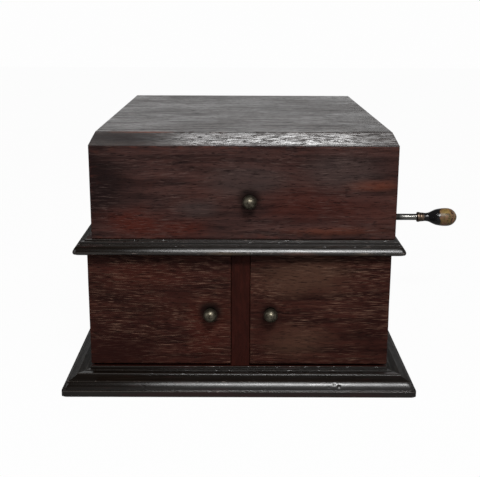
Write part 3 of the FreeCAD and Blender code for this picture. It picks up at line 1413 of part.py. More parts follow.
def needle_bar():
    """A pivot block on the soundbox rim, a chuck for the needle, and a thin bar to the diaphragm."""
    block_start = s.soundbox_offset + s.soundbox_depth
    pivot = bar(3.0, across_arm, arm_point(s.needle_forward, block_start, -rim + 3.4), BAR_OUT)
    chuck = bar(CHUCK, "Z", arm_point(s.needle_forward, chuck_across, chuck_low), chuck_top - chuck_low)
    arm = bar(1.0, "Z", arm_point(s.needle_forward, chuck_across, chuck_top), 0 - chuck_top)
    link = bar(1.2, across_arm, arm_point(s.needle_forward, link_start, 0), chuck_across + 1.5 - link_start)
    hole = bar(NEEDLE, "Z", arm_point(s.needle_forward, chuck_across, chuck_low), 6.0)
    return cut(fuse(pivot, chuck, arm, link), hole)


node(needle_bar(), "needle_bar")
POINT = 3.0
needle = [
    (0, needle_low),
    (0.15, needle_low),
    (NEEDLE, needle_low + POINT),
    (NEEDLE, chuck_low + 6.0),
    (0, chuck_low + 6.0),
]
node(turned(needle, "Z", arm_point(s.needle_forward, chuck_across, 0)), "needle")

# Arm rest under the parked arm
REST_ALONG = 84.0
rest_share = as_dim(REST_ALONG - ARM_BEND) / (arm_tip - ARM_BEND)
rest_radius = ARM_ROOT - (ARM_ROOT - ARM_TIP) * rest_share
rest_top = s.tonearm_rise - rest_radius - 0.4
rest = [
    (0, 0),
    (10.0, 0),
    (9.0, 3.0),
    (4.0, 4.0),
    (3.2, rest_top - 6.0),
    (7.0, rest_top - 3.0),
    (7.0, rest_top),
    (0, rest_top),
]
rest_x, rest_y, _ = arm_point(REST_ALONG, 0, 0)
node(turned(rest, "Z", (rest_x, rest_y, deck_top)), "arm_rest")

# Check every object, then write one file for each node
doc.recompute()
failed = [obj.Name for obj in doc.Objects if "Invalid" in obj.State or "Error" in obj.State]
if failed:
    raise RuntimeError(f"objects failed: {failed}")
for piece in nodes:
    if piece.Shape.isNull() or not piece.Shape.isValid() or not piece.Shape.Solids:
        raise RuntimeError(f"bad shape: {piece.Label}")
os.makedirs("parts", exist_ok=True)
for piece in nodes:
    piece.Shape.exportStep(f"parts/{piece.Label}.step")
print(f"{len(nodes)} nodes, {sum(len(piece.Shape.Solids) for piece in nodes)} solids")
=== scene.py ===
# %% [markdown]
# # A tabletop gramophone in a dark wooden case
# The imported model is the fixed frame: its boards, hinges, motor and deck are already in place and in metres.
# This lesson dresses that frame. Boards, mouldings and turned pieces are rebuilt as fine surfaces with numpy,
# and every finish is made of nodes.

import json
import math

import bmesh
import bpy
import numpy as np
from mathutils import Matrix, Vector


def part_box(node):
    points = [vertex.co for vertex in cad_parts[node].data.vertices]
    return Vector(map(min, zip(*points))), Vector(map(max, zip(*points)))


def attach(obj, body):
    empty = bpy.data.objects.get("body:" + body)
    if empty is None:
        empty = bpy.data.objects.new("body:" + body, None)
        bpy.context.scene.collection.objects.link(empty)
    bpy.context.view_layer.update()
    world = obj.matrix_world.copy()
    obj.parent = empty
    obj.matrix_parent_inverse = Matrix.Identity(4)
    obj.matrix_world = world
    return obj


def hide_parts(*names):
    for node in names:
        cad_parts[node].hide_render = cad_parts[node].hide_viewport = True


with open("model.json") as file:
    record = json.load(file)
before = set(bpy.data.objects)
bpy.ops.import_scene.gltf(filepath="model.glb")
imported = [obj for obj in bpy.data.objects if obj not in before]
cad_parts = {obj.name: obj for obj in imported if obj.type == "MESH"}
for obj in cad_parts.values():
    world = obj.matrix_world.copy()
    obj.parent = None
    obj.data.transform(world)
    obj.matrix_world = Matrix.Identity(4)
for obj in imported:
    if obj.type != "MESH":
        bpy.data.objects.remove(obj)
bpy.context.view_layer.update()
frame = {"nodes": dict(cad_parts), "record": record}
scene = bpy.context.scene
scene.view_settings.view_transform = "Standard"
MM = 0.001

# %% [markdown]
# ## Camera
# The photograph was taken from a little over a metre in front of the doors, looking about 15 degrees down. A camera
# could be set by eye, but the place, lens and tilt here were fitted to the edges of the lid, waist and base, so the
# same edges fall on the same pixels.

# %% Camera
PITCH, YAW, ROLL = 0.2551, -0.003, 0.004
FOCAL_PIXELS, FRAME_PIXELS, SENSOR = 888.3, 480, 36.0
SHIFT_RIGHT, SHIFT_DOWN = 1.25, 0.5
CAMERA_PLACE = Vector((-0.96, -1281.9, 469.3)) * MM
forward = Vector((-math.sin(YAW) * math.cos(PITCH), math.cos(YAW) * math.cos(PITCH), -math.sin(PITCH)))
level = Vector((math.cos(YAW), math.sin(YAW), 0.0))
upward = level.cross(forward)
across = level * math.cos(ROLL) + upward * math.sin(ROLL)
upward = upward * math.cos(ROLL) - level * math.sin(ROLL)
eye = bpy.data.cameras.new("camera")
eye.sensor_width = SENSOR
eye.lens = FOCAL_PIXELS / FRAME_PIXELS * SENSOR
eye.shift_x, eye.shift_y = -SHIFT_RIGHT / FRAME_PIXELS, SHIFT_DOWN / FRAME_PIXELS
camera = bpy.data.objects.new("camera", eye)
axes = Matrix((across, upward, -forward)).transposed().to_4x4()
camera.matrix_world = Matrix.Translation(CAMERA_PLACE) @ axes
scene.collection.objects.link(camera)
scene.camera = camera
print(f"camera: {eye.lens:.1f} mm lens, {math.degrees(PITCH):.1f} degrees down")

# %% [markdown]
# ## Nodes from code
# The world, the floor and every finish are trees of shader nodes. They could be drawn in the shader editor; written
# as code they can be repeated for twenty finishes. One function makes any node, and two short ones make the kinds
# that come up most: a sum or product, and a ramp between two values.

# %% Node helpers


def add_node(tree, kind, **settings):
    """A shader node; settings are its properties, or values and links for its inputs by name or as i and number."""
    made = tree.nodes.new("ShaderNode" + kind)
    for key, value in settings.items():
        if hasattr(made, key):
            setattr(made, key, value)
    for key, value in settings.items():
        if hasattr(made, key):
            continue
        name = key.replace("_", " ")
        socket = made.inputs[int(name[1:])] if name[0] == "i" and name[1:].isdigit() else made.inputs[name]
        if isinstance(value, bpy.types.NodeSocket):
            tree.links.new(value, socket)
        else:
            socket.default_value = value
    return made


def maths(tree, operation, *values):
    """One operation on values or links, in their order."""
    inputs = {f"i{index}": value for index, value in enumerate(values)}
    return add_node(tree, "Math", operation=operation, **inputs).outputs[0]


def ramp(tree, value, low, high, start, end, kind="LINEAR"):
    """start up to low, end from high on, and between them a value in proportion."""
    return add_node(tree, "MapRange", interpolation_type=kind, Value=value, From_Min=low, From_Max=high, To_Min=start,
                    To_Max=end).outputs[0]


def blend(tree, share, start, end):
    """start where the share is 0, end where it is 1."""
    return ramp(tree, share, 0.0, 1.0, start, end)


def is_ray(tree, *kinds):
    """1 for a ray of one of these kinds, else 0."""
    path = add_node(tree, "LightPath")
    first, *others = [path.outputs[f"Is {kind} Ray"] for kind in kinds]
    for other in others:
        first = maths(tree, "MAXIMUM", first, other)
    return first


print("helpers: nodes")

# %% [markdown]
# ## White tent
# The object stands in front of white. A plain white world would also fill the hollows of the mouldings with light.
# So for reflections the surroundings are white up to a third of the way to the zenith and dim above, as in a tent
# with an open top, and dim towards the front left, where the polish shows a dark room. For soft light they are
# brightest in front, which fills the shadows.

# %% White tent
WHITE = (1.0, 1.0, 1.0, 1.0)
FRONT_LIGHT, BACK_LIGHT, LIGHT_FALL = 2.0, 0.2, (-1.0, 0.2)
TENT_SIDE, TENT_TOP, TENT_RIM = 0.985, 0.1, (0.3, 0.55)
DARK_ROOM, ROOM_LEFT, ROOM_FRONT = 0.25, (-0.2, 0.0), (-0.7, -0.1)
world = bpy.data.worlds.new("studio")
scene.world = world
world.use_nodes = True
sky = world.node_tree
way = add_node(sky, "SeparateXYZ", Vector=add_node(sky, "TexCoord").outputs["Generated"]).outputs
tent = ramp(sky, way["Z"], *TENT_RIM, TENT_SIDE, TENT_TOP, "SMOOTHSTEP")
room = ramp(sky, way["Y"], *ROOM_FRONT, ramp(sky, way["X"], *ROOM_LEFT, DARK_ROOM, 1.0), 1.0)
tent = maths(sky, "MULTIPLY", tent, blend(sky, is_ray(sky, "Glossy"), 1.0, room))
soft = ramp(sky, way["Y"], *LIGHT_FALL, FRONT_LIGHT, BACK_LIGHT)
strength = blend(sky, is_ray(sky, "Camera", "Glossy", "Transmission"), soft, tent)
sky.nodes["Background"].inputs["Color"].default_value = WHITE
sky.links.new(strength, sky.nodes["Background"].inputs["Strength"])
print("world: white tent")

# %% [markdown]
# ## Floor
# The floor is one large pale square. The camera sees it mostly as a white glow, so that it runs into the white
# behind; the small rest of it is plain paint, and that rest keeps the object's shadow.

# %% Floor
FLOOR_HALF, FLOOR_GREY, FLOOR_ROUGH = 6.0, (0.26, 0.26, 0.26, 1.0), 0.9
GLOW, GLOW_SHARE = 1.01, 0.955
floor_mesh = bpy.data.meshes.new("floor")
floor_mesh.from_pydata([(-FLOOR_HALF, -FLOOR_HALF, 0), (FLOOR_HALF, -FLOOR_HALF, 0), (FLOOR_HALF, FLOOR_HALF, 0),
                        (-FLOOR_HALF, FLOOR_HALF, 0)], [], [(0, 1, 2, 3)])
floor = bpy.data.objects.new("floor", floor_mesh)
scene.collection.objects.link(floor)
floor_paint = bpy.data.materials.new("floor_paint")
floor_paint.use_nodes = True
paint = floor_paint.node_tree
plain = paint.nodes["Principled BSDF"]
plain.inputs["Base Color"].default_value = FLOOR_GREY
plain.inputs["Roughness"].default_value = FLOOR_ROUGH
glow = add_node(paint, "Emission", Color=WHITE, Strength=GLOW)
share = maths(paint, "MULTIPLY", is_ray(paint, "Camera", "Transmission"), GLOW_SHARE)
both = add_node(paint, "MixShader", Fac=share, i1=plain.outputs[0], i2=glow.outputs[0])
paint.links.new(both.outputs[0], paint.nodes["Material Output"].inputs["Surface"])
floor_mesh.materials.append(floor_paint)
print("stage: floor")

# %% [markdown]
# ## Lamps
# One soft lamp above and behind the camera gives the bright streak along the lid's bevel and the lines of light on
# the mouldings. A sun lamp would light as well, but its lines would be thin and endless: a rectangle's width sets
# how far they run. A weak lamp fills from the left, and a narrow one draws the line of light on the crank.

# %% Lamps


def soft_lamp(name, place, target, size, watts):
    """A rectangular lamp at a place, turned towards a target."""
    light = bpy.data.lights.new(name, "AREA")
    light.shape = "RECTANGLE"
    light.size, light.size_y = size
    light.energy = watts
    lamp = bpy.data.objects.new(name, light)
    lamp.location = place
    lamp.rotation_euler = (Vector(target) - Vector(place)).to_track_quat("-Z", "Y").to_euler()
    scene.collection.objects.link(lamp)


soft_lamp("key_lamp", place=(0.25, -1.9, 1.9), target=(0.0, -0.2, 0.18), size=(0.72, 0.34), watts=86)
soft_lamp("fill_lamp", place=(-1.6, -1.2, 1.3), target=(0.0, 0.0, 0.15), size=(1.2, 1.2), watts=9)
soft_lamp("crank_lamp", place=(0.85, -1.9, 1.9), target=(0.27, 0.07, 0.15), size=(0.1, 0.25), watts=6)
print("lamps: three")

# %% [markdown]
# ## Colour, noise and bump
# Every finish below is the same idea: one base colour, noises that vary it and the roughness, and a small bump. A
# photograph of wood would be quicker, but it would repeat and carry its own light. Noise on object coordinates fits
# every board at its true size.

# %% Noise and steps
ALONG_X, ALONG_Y, ALONG_Z = 0, 1, 2
PER_METRE = 1000.0


def start_finish(name):
    """A new node finish: the material, its tree, its shader and object coordinates."""
    finish = bpy.data.materials.new(name)
    finish.use_nodes = True
    tree = finish.node_tree
    return finish, tree, tree.nodes["Principled BSDF"], add_node(tree, "TexCoord").outputs["Object"]


def noise(tree, place, grain, length, width, shift=0.0, detail=2.0, roughness=0.5, distortion=0.0):
    """A noise whose patches are about a length (mm) along the grain axis and a width (mm) across it."""
    scale = [PER_METRE / width] * 3
    scale[grain] = PER_METRE / length
    moved = add_node(tree, "Mapping", Vector=place, Scale=scale, Location=(shift, shift, shift)).outputs[0]
    return add_node(tree, "TexNoise", Vector=moved, Scale=1.0, Detail=detail, Roughness=roughness,
                    Distortion=distortion).outputs[0]


def step_up(tree, value, low, high, top=1.0):
    """0 below low, rising smoothly to top at high."""
    return ramp(tree, value, low, high, 0.0, top, "SMOOTHSTEP")


def times(tree, first, second):
    """The product of two values."""
    return maths(tree, "MULTIPLY", first, second)


def attribute(tree, name):
    """A mark that a piece carries on its points."""
    return add_node(tree, "Attribute", attribute_name=name).outputs["Fac"]


def along_axis(tree, place, axis):
    """One coordinate of a place."""
    return add_node(tree, "SeparateXYZ", Vector=place).outputs[axis]


print("helpers: noise and steps")

# %% Colours and surfaces
MIX_SHARE, MIX_FIRST, MIX_SECOND, MIX_RESULT = 0, 6, 7, 2
FINE_BUMP, DEEP_BUMP = 0.0002, 0.0004


def mixed(tree, share, first, second):
    """Two colours mixed by a share."""
    made = tree.nodes.new("ShaderNodeMix")
    made.data_type = "RGBA"
    for index, value in ((MIX_SHARE, share), (MIX_FIRST, first), (MIX_SECOND, second)):
        if isinstance(value, bpy.types.NodeSocket):
            tree.links.new(value, made.inputs[index])
        elif isinstance(value, (int, float)):
            made.inputs[index].default_value = value
        else:
            made.inputs[index].default_value = (*value, 1.0)
    return made.outputs[MIX_RESULT]


def tinted(colour, factor):
    """A colour made darker or lighter."""
    return [value * factor for value in colour]


def set_surface(tree, shader, base, rough, height, relief, depth=FINE_BUMP, **constants):
    """Link a colour, a roughness and a bump to the shader; constants are plain numbers on its own sockets."""
    tree.links.new(base, shader.inputs["Base Color"])
    if isinstance(rough, bpy.types.NodeSocket):
        tree.links.new(rough, shader.inputs["Roughness"])
    else:
        shader.inputs["Roughness"].default_value = rough
    for name, value in constants.items():
        shader.inputs[name.replace("_", " ")].default_value = value
    bump = add_node(tree, "Bump", Height=height, Strength=relief, Distance=depth)
    tree.links.new(bump.outputs[0], shader.inputs["Normal"])


print("helpers: colours and surfaces")

# %% [markdown]
# ## Spots
# Stains, faded places, the painted shade at the edges of the lid and doors and the dark rings round the knobs each lie
# in one place, so noise alone can't place them. A spot is a soft ball, stretched along each axis, whose border is made
# ragged by a noise. It could be painted on the mesh, but then it would need a finer mesh or an image.

# %% Spots
RAGGED = 1.3
SPOT_BORDER = -1.0, -0.2


def spot(tree, place, centre, reach, ragged, amount):
    """A soft patch: amount at its centre (mm), 0 past its reach (mm) along each axis, with a ragged border."""
    scale = [PER_METRE / value for value in reach]
    moved = add_node(tree, "Mapping", Vector=place, Scale=scale,
                     Location=[-middle / value for middle, value in zip(centre, reach)]).outputs[0]
    distance = add_node(tree, "VectorMath", operation="LENGTH", i0=moved).outputs["Value"]
    border = maths(tree, "MULTIPLY_ADD", ragged, RAGGED, -RAGGED / 2)
    return step_up(tree, maths(tree, "SUBTRACT", border, distance), *SPOT_BORDER, amount)


def spotted(tree, place, base, ragged, spots):
    """A base colour with placed spots laid over it, each a centre, a reach, a colour and an amount."""
    for centre, reach, colour, amount in spots:
        base = mixed(tree, spot(tree, place, centre, reach, ragged, amount), base, colour)
    return base


print("helpers: spots")

# %% [markdown]
# ## Wood
# The case is stained, open-grained wood. Under the stain the figure runs in long soft bands, the open pores are
# short dark dashes, and where hands and sun have worn the stain a warmer red shows. The grain of each board
# runs its own way, so each noise is stretched along that axis. The pores are also a bump.

# %% Wood
# Length along the grain and width across it, in mm, of each noise.
SWAY, FIGURE, BANDS, PATCHES = (190, 48), (130, 8), (300, 2.4), (95, 52)
FLECKS, CLUSTERS, PORES, RUBBED, STREAKS = (20, 0.7), (70, 40), (11, 1.1), (16, 5), (70, 4)
SWAY_WIDTH = 0.014
DRY, DULL_PORE, GRAIN_DULL = 0.68, 0.85, 0.3
# Where the bevel's polish changes, in metres along X: past its left end, and before its right end.
BEVEL_LEFT, BEVEL_RIGHT = (-0.13, -0.06), (0.12, 0.175)


def lid_top_dullness(tree, place, grain, shift, dull, light, polish):
    """Roughness of the lid's top: dry streaks on the flat, and a bevel polished by three values from left to right,
    duller in its fine grain."""
    dry = step_up(tree, noise(tree, place, grain, *STREAKS, shift + 15.0, 2.0, 0.6), 0.52, 0.70)
    flat = blend(tree, dry, dull, DRY)
    along = along_axis(tree, place, "X")
    left, middle, right = polish
    bevel = ramp(tree, along, *BEVEL_RIGHT, ramp(tree, along, *BEVEL_LEFT, left, middle), right)
    bevel = maths(tree, "MULTIPLY_ADD", step_up(tree, light, 0.42, 0.62), GRAIN_DULL, bevel)
    return blend(tree, attribute(tree, "slope"), flat, bevel)


def wood(name, grain, deep, mid, warm, fleck, gloss=0.42, flecks=0.5, worn=0.6, pores=0.7, shift=0.0, spots=(),
         overlays=(), relief=0.35, shine=0.03, bevel_polish=None):
    """Stained open-grain wood: figure, worn patches, spots below flecks and pores, overlays above them (painted
    shade and dark rings round knobs), rubbed edges.
    """
    finish, tree, shader, place = start_finish(name)
    sway = noise(tree, place, grain, *SWAY, shift)
    swayed = add_node(tree, "VectorMath", operation="MULTIPLY_ADD", i0=sway, i1=(SWAY_WIDTH,) * 3, i2=place).outputs[0]
    figure = noise(tree, swayed, grain, *FIGURE, shift, 4.0, 0.62)
    bands = noise(tree, swayed, grain, *BANDS, shift, 2.0, 0.6)
    patches = noise(tree, place, grain, *PATCHES, shift + 3.0, 4.0, 0.6, 0.5)
    base = mixed(tree, step_up(tree, figure, 0.34, 0.66), deep, mid)
    base = mixed(tree, step_up(tree, bands, 0.48, 0.72, 0.55), base, deep)
    base = mixed(tree, times(tree, step_up(tree, patches, 0.50, 0.72), worn), base, warm)
    base = spotted(tree, place, base, patches, spots)
    light = noise(tree, swayed, grain, *FLECKS, shift, 2.0, 0.55)
    cluster = step_up(tree, noise(tree, place, grain, *CLUSTERS, shift + 5.0), 0.3, 0.62)
    base = mixed(tree, times(tree, step_up(tree, light, 0.52, 0.74, flecks), cluster), base, fleck)
    pore = step_up(tree, noise(tree, swayed, grain, *PORES, shift + 7.0, 2.0, 0.6), 0.54, 0.68)
    base = mixed(tree, times(tree, pore, pores), base, tinted(deep, 0.25))
    base = spotted(tree, place, base, patches, overlays)
    rub = step_up(tree, noise(tree, place, grain, *RUBBED, shift, 3.0), 0.5, 0.68)
    rub = times(tree, attribute(tree, "edge"), rub)
    base = mixed(tree, times(tree, rub, 0.55), base, tinted(warm, 1.25))
    dull = ramp(tree, patches, 0.3, 0.7, gloss - 0.07, gloss + 0.1)
    if bevel_polish:
        dull = lid_top_dullness(tree, place, grain, shift, dull, light, bevel_polish)
    rough = blend(tree, pore, dull, DULL_PORE)
    height = maths(tree, "MULTIPLY_ADD", pore, -1.0, times(tree, bands, 0.6))
    set_surface(tree, shader, base, rough, height, relief, DEEP_BUMP, Specular_IOR_Level=shine)
    return finish


print("finish: wood")

# %% [markdown]
# ## Tones, stain and painted shade
# The lid has faded to brown, the doors are still red, the stile was never exposed, and the inside is bare. The
# colours are those of the photograph with the light taken out, so they look darker here than they render. The
# spots follow the photograph too: most are stain, faded places and red wear, but the dark ones at the left of the lid
# and its bevel and at the lower left of the doors are painted shade, and round the knobs there are dark rings. Each
# spot has a centre and a reach in millimetres, a colour and an amount.

# %% Tones, stain and painted shade
ANY = 4000.0
LID_TONES = dict(deep=(0.0085, 0.0042, 0.0038), mid=(0.0235, 0.0108, 0.0092), warm=(0.033, 0.0105, 0.0072),
                 fleck=(0.06, 0.039, 0.034))
TOP_TONES = dict(deep=(0.007, 0.0052, 0.0048), mid=(0.018, 0.0135, 0.0122), warm=(0.024, 0.0125, 0.0095),
                 fleck=(0.055, 0.043, 0.038))
DOOR_TONES = dict(deep=(0.0072, 0.0022, 0.0017), mid=(0.018, 0.0054, 0.0039), warm=(0.025, 0.0072, 0.0045),
                  fleck=(0.08, 0.045, 0.031))
STILE_TONES = dict(deep=(0.009, 0.0023, 0.0016), mid=(0.0125, 0.0029, 0.002), warm=(0.0155, 0.0034, 0.0023),
                   fleck=(0.0165, 0.0056, 0.0042))
INSIDE_TONES = dict(deep=(0.10, 0.047, 0.024), mid=(0.17, 0.09, 0.046), warm=(0.21, 0.115, 0.058),
                    fleck=(0.24, 0.15, 0.09))
# Painted shade for the darker left of the lid and of its bevel, then grey haze on the finish.
PAINTED_SHADE, HAZE = (0.0048, 0.0024, 0.0023), (0.0215, 0.015, 0.0138)
RED, RUST = (0.027, 0.0054, 0.0033), (0.055, 0.0145, 0.0072)
# Brown wear, then a dark red used as painted shade on the doors.
BROWN, PAINTED_SHADE_RED = (0.036, 0.018, 0.0115), (0.0082, 0.0022, 0.0017)
# The dark of the rings round the knobs.
KNOB_RING_DARK = (0.0022, 0.0012, 0.001)
# The large dark spot at the lid's left and the faint one near its top right are painted shade; the rest are stain, red
# wear and haze.
lid_spots = [((-180, 0, 262), (62, ANY, 85), PAINTED_SHADE, 0.95), ((-130, 0, 215), (70, ANY, 26), RED, 0.9),
             ((-70, 0, 208), (52, ANY, 18), RED, 0.75), ((-52, 0, 232), (34, ANY, 14), HAZE, 0.55),
             ((10, 0, 268), (60, ANY, 26), HAZE, 0.6), ((95, 0, 232), (95, ANY, 34), RED, 0.5),
             ((160, 0, 262), (42, ANY, 9), RUST, 0.55), ((105, 0, 205), (80, ANY, 9), RUST, 0.45),
             ((120, 0, 288), (90, ANY, 20), PAINTED_SHADE, 0.3), ((125, 0, 280), (60, ANY, 30), HAZE, 0.6)]
# The two dark red spots, at the lower left of the left door and along the right edge of the right door, are painted
# shade; the others are red and brown wear.
door_spots = [((-150, 0, 60), (70, ANY, 46), PAINTED_SHADE_RED, 0.8), ((-40, 0, 70), (38, ANY, 50), RED, 0.45),
              ((-120, 0, 150), (75, ANY, 22), RED, 0.3), ((70, 0, 60), (62, ANY, 34), BROWN, 0.5),
              ((170, 0, 90), (30, ANY, 80), PAINTED_SHADE_RED, 0.6), ((80, 0, 145), (95, ANY, 34), BROWN, 0.6)]
lid_front, lid_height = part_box("lid_top")[0].y / MM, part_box("lid_top")[1].z / MM
# The dark spot at the left of the bevel is painted shade; the thin rust line above it is wear.
top_spots = [((-145, lid_front + 4, lid_height - 6), (85, 9, 14), PAINTED_SHADE, 0.9),
             ((-118, lid_front + 8.2, lid_height - 0.5), (55, 4, 1.6), RUST, 0.95)]
KNOB_RING = 17


def around(knob):
    """A dark ring on the wood round a knob, darkest at its middle."""
    low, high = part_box(knob)
    centre = (low.x + high.x) / 2 / MM, 0, (low.z + high.z) / 2 / MM
    return centre, (KNOB_RING, ANY, KNOB_RING), KNOB_RING_DARK, 0.9


# Painted shade over the lower left of the left door, which also hides its flecks, then the dark rings round the two
# knobs.
door_shade_and_rings = [((-160, 0, 42), (85, ANY, 34), PAINTED_SHADE_RED, 0.85), around("door_knob_left"), around("door_knob_right")]
print(f"stains: {len(lid_spots)} on the lid, {len(door_spots) + len(door_shade_and_rings)} on the doors")

# %% [markdown]
# ## A finish for each board
# Boards cut from one plank would look the same all over. Each finish starts its noises at another place, by its
# shift, and runs along its own board. The lid's top is the only glossy one: it has been polished, and its bevel
# catches the lamp.

# %% Finishes of the boards
lid_wood = wood("lid_wood", ALONG_X, **LID_TONES, flecks=0.55, worn=0.3, spots=lid_spots, overlays=[around("lid_knob")])
lid_side_wood = wood("lid_side_wood", ALONG_Y, **LID_TONES, flecks=0.4, worn=0.7, shift=5.0)
lid_top_wood = wood("lid_top_wood", ALONG_X, **TOP_TONES, gloss=0.34, flecks=0.3, worn=0.15, shift=9.0, relief=0.3,
                    shine=0.47, bevel_polish=(0.88, 0.31, 0.5), spots=top_spots)
door_wood = wood("door_wood", ALONG_X, **DOOR_TONES, flecks=0.8, worn=0.4, shift=13.0, spots=door_spots,
                 overlays=door_shade_and_rings)
case_side_wood = wood("case_side_wood", ALONG_Y, **DOOR_TONES, flecks=0.55, worn=0.5, shift=17.0)
case_back_wood = wood("case_back_wood", ALONG_X, **DOOR_TONES, flecks=0.4, worn=0.5, shift=21.0)
deck_wood = wood("deck_wood", ALONG_X, **DOOR_TONES, gloss=0.34, flecks=0.5, worn=0.4, shift=25.0)
stile_wood = wood("stile_wood", ALONG_Z, **STILE_TONES, flecks=0.1, worn=0.5, pores=0.3, gloss=0.4, shift=29.0)
# The rail below the doors takes the stile's dark tones as painted shade, for the shadowed gap under them.
rail_wood_painted_shade = wood("rail_wood_painted_shade", ALONG_X, **STILE_TONES, flecks=0.1, worn=0.3, pores=0.3, gloss=0.5, shift=41.0)
inside_wood = wood("inside_wood", ALONG_X, **INSIDE_TONES, gloss=0.6, flecks=0.3, worn=0.4, pores=0.5, shift=33.0)
inside_long_wood = wood("inside_long_wood", ALONG_Y, **INSIDE_TONES, gloss=0.6, flecks=0.3, worn=0.4, pores=0.5,
                        shift=37.0)
print("finishes: eleven woods")

# %% [markdown]
# ## Shapes as arrays
# Three kinds of surface make up the whole case. A board is a box whose points are pulled onto rounded edges, a
# turned piece is a profile spun about an axis, and a moulding or a bent tube is a profile carried along a path.
# Each could be modelled by hand with bevels and spins. Here each is a grid of points worked out at once, so that
# wear can be added as a formula, and its seams are merged afterwards.

# %% Grids into meshes
SEAM, SLIVER, TINY = 2e-6, 1e-7, 1e-9


def grid_faces(rows, columns, wrap=False):
    """Quads of a grid of points: each joins a point, its neighbour and the two below. wrap joins last to first."""
    row, column = np.meshgrid(np.arange(rows - 1), np.arange(columns if wrap else columns - 1), indexing="ij")
    following = (column + 1) % columns
    corners = (row * columns + column, row * columns + following,
               (row + 1) * columns + following, (row + 1) * columns + column)
    return np.stack(corners, -1).reshape(-1, 4)


def make_piece(name, grids, body, finish, slot, replaces=(), smooth=40.0, caps=(), **marks):
    """A closed piece of several grids (points, wrap): merged at its seams, turned outwards and set on its body.

    caps are rings of points that become one flat face each; marks are attributes, an array for each grid.
    """
    points, faces, start = [], [], 0
    for grid, wrap in grids:
        rows, columns = grid.shape[:2]
        faces += (grid_faces(rows, columns, wrap) + start).tolist()
        points.append(grid.reshape(-1, 3))
        start += rows * columns
    for ring in caps:
        points.append(ring)
        faces.append(list(range(start, start + len(ring))))
        start += len(ring)
    points = np.concatenate(points)
    mesh = bpy.data.meshes.new(name)
    mesh.from_pydata(points.tolist(), [], faces)
    for mark, arrays in marks.items():
        values = np.zeros(len(points), np.float32)
        given = np.concatenate([np.ravel(array) for array in arrays])
        values[:len(given)] = given
        mesh.attributes.new(mark, "FLOAT", "POINT").data.foreach_set("value", values)
    shape = bmesh.new()
    shape.from_mesh(mesh)
    bmesh.ops.remove_doubles(shape, verts=shape.verts, dist=SEAM)
    bmesh.ops.dissolve_degenerate(shape, edges=shape.edges, dist=SLIVER)
    bmesh.ops.recalc_face_normals(shape, faces=shape.faces)
    shape.to_mesh(mesh)
    shape.free()
    mesh.polygons.foreach_set("use_smooth", np.ones(len(mesh.polygons), bool))
    mesh.set_sharp_from_angle(angle=math.radians(smooth))
    mesh.materials.append(finish)
    piece = bpy.data.objects.new(name, mesh)
    scene.collection.objects.link(piece)
    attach(piece, body)
    if replaces:
        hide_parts(*replaces)


def spread_rows(values, grid):
    """One value for each row of a grid, the same all along the row."""
    return np.broadcast_to(values[:, None], grid.shape[:2])


print("helpers: grids")

# %% [markdown]
# ## Wander
# Nothing old is quite straight. Sines in a few random directions, added up, give a smooth wander over space that has
# no seam anywhere and needs no texture; the boards, mouldings and knobs all use it for their wear.

# %% Wander
WAVES, WEAR_LENGTH = 5, 0.05


def ripple(points, length, seed):
    """A smooth wander between -1 and 1 over space: a sum of sines in seeded directions, about a length apart."""
    draw = np.random.default_rng(seed)
    waves = draw.normal(size=(WAVES, 3)) * (2 * math.pi / length)
    phases = draw.uniform(0, 2 * math.pi, WAVES)
    return np.sin(np.einsum("...k,wk->...w", points, waves) + phases).mean(-1)


print("helpers: wander")

# %% [markdown]
# ## Boards
# A cube with a Bevel modifier makes a clean board. Real edges are rubbed more in one place than in another, so here
# the radius of the edge itself wanders. Each point also keeps how near an edge it is, which tells the finish where
# to wear through.

# %% Boards
EDGE_ROWS, BOARD_STEP = np.array([0.0, 0.25, 0.5, 0.75, 1.0, 2.0, 4.0]), 0.008


def board_lines(low, high, radius):
    """Grid lines across a board: close together at the rounded edges, then evenly spaced."""
    near = radius * EDGE_ROWS
    near = near[near < (high - low) / 2]
    count = max(2, int((high - low) / BOARD_STEP))
    inner = np.linspace(low + near[-1], high - near[-1], count)[1:-1]
    return np.concatenate([low + near, inner, high - near[::-1]])


def board_grids(low, high, radius, seed, wear=0.5, reach=0.005):
    """Six faces of a worn board.

    A point of the box is pulled onto a ball of the edge radius about the nearest point of the box shrunk by that
    radius; the radius wanders along the edges, as wear does. Wear falls off with distance from the nearest edge.
    """
    low, high = np.array(low, float), np.array(high, float)
    lines = [board_lines(low[axis], high[axis], radius) for axis in range(3)]
    grids, edges = [], []
    for axis in range(3):
        others = [other for other in range(3) if other != axis]
        first, second = np.meshgrid(lines[others[0]], lines[others[1]], indexing="ij")
        for limit in (low[axis], high[axis]):
            box = np.empty(first.shape + (3,))
            box[..., axis], box[..., others[0]], box[..., others[1]] = limit, first, second
            bend = radius * (1 + wear * ripple(box, WEAR_LENGTH, seed))[..., None]
            core = np.clip(box, low + bend, high - bend)
            out = box - core
            length = np.linalg.norm(out, axis=-1, keepdims=True)
            grids.append((core + out * bend / np.maximum(length, TINY), False))
            from_edge = np.minimum(np.minimum(first - low[others[0]], high[others[0]] - first),
                                   np.minimum(second - low[others[1]], high[others[1]] - second))
            edges.append(np.exp(-from_edge / reach))
    return grids, edges


def make_board(name, body, finish, slot, **shape):
    """A worn board in the box of a CAD node, which it stands for."""
    low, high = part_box(name)
    grids, edges = board_grids(low, high, **shape)
    make_piece(name + "_board", grids, body, finish, slot, (name,), edge=edges)


print("helpers: boards")

# %% [markdown]
# ## Lid boards
# The lid is a deep box without a bottom: a front and a back board between two sides. The boards keep the places of
# the CAD boards exactly, because the hinges and the case are fitted to them; only their edges are worn.

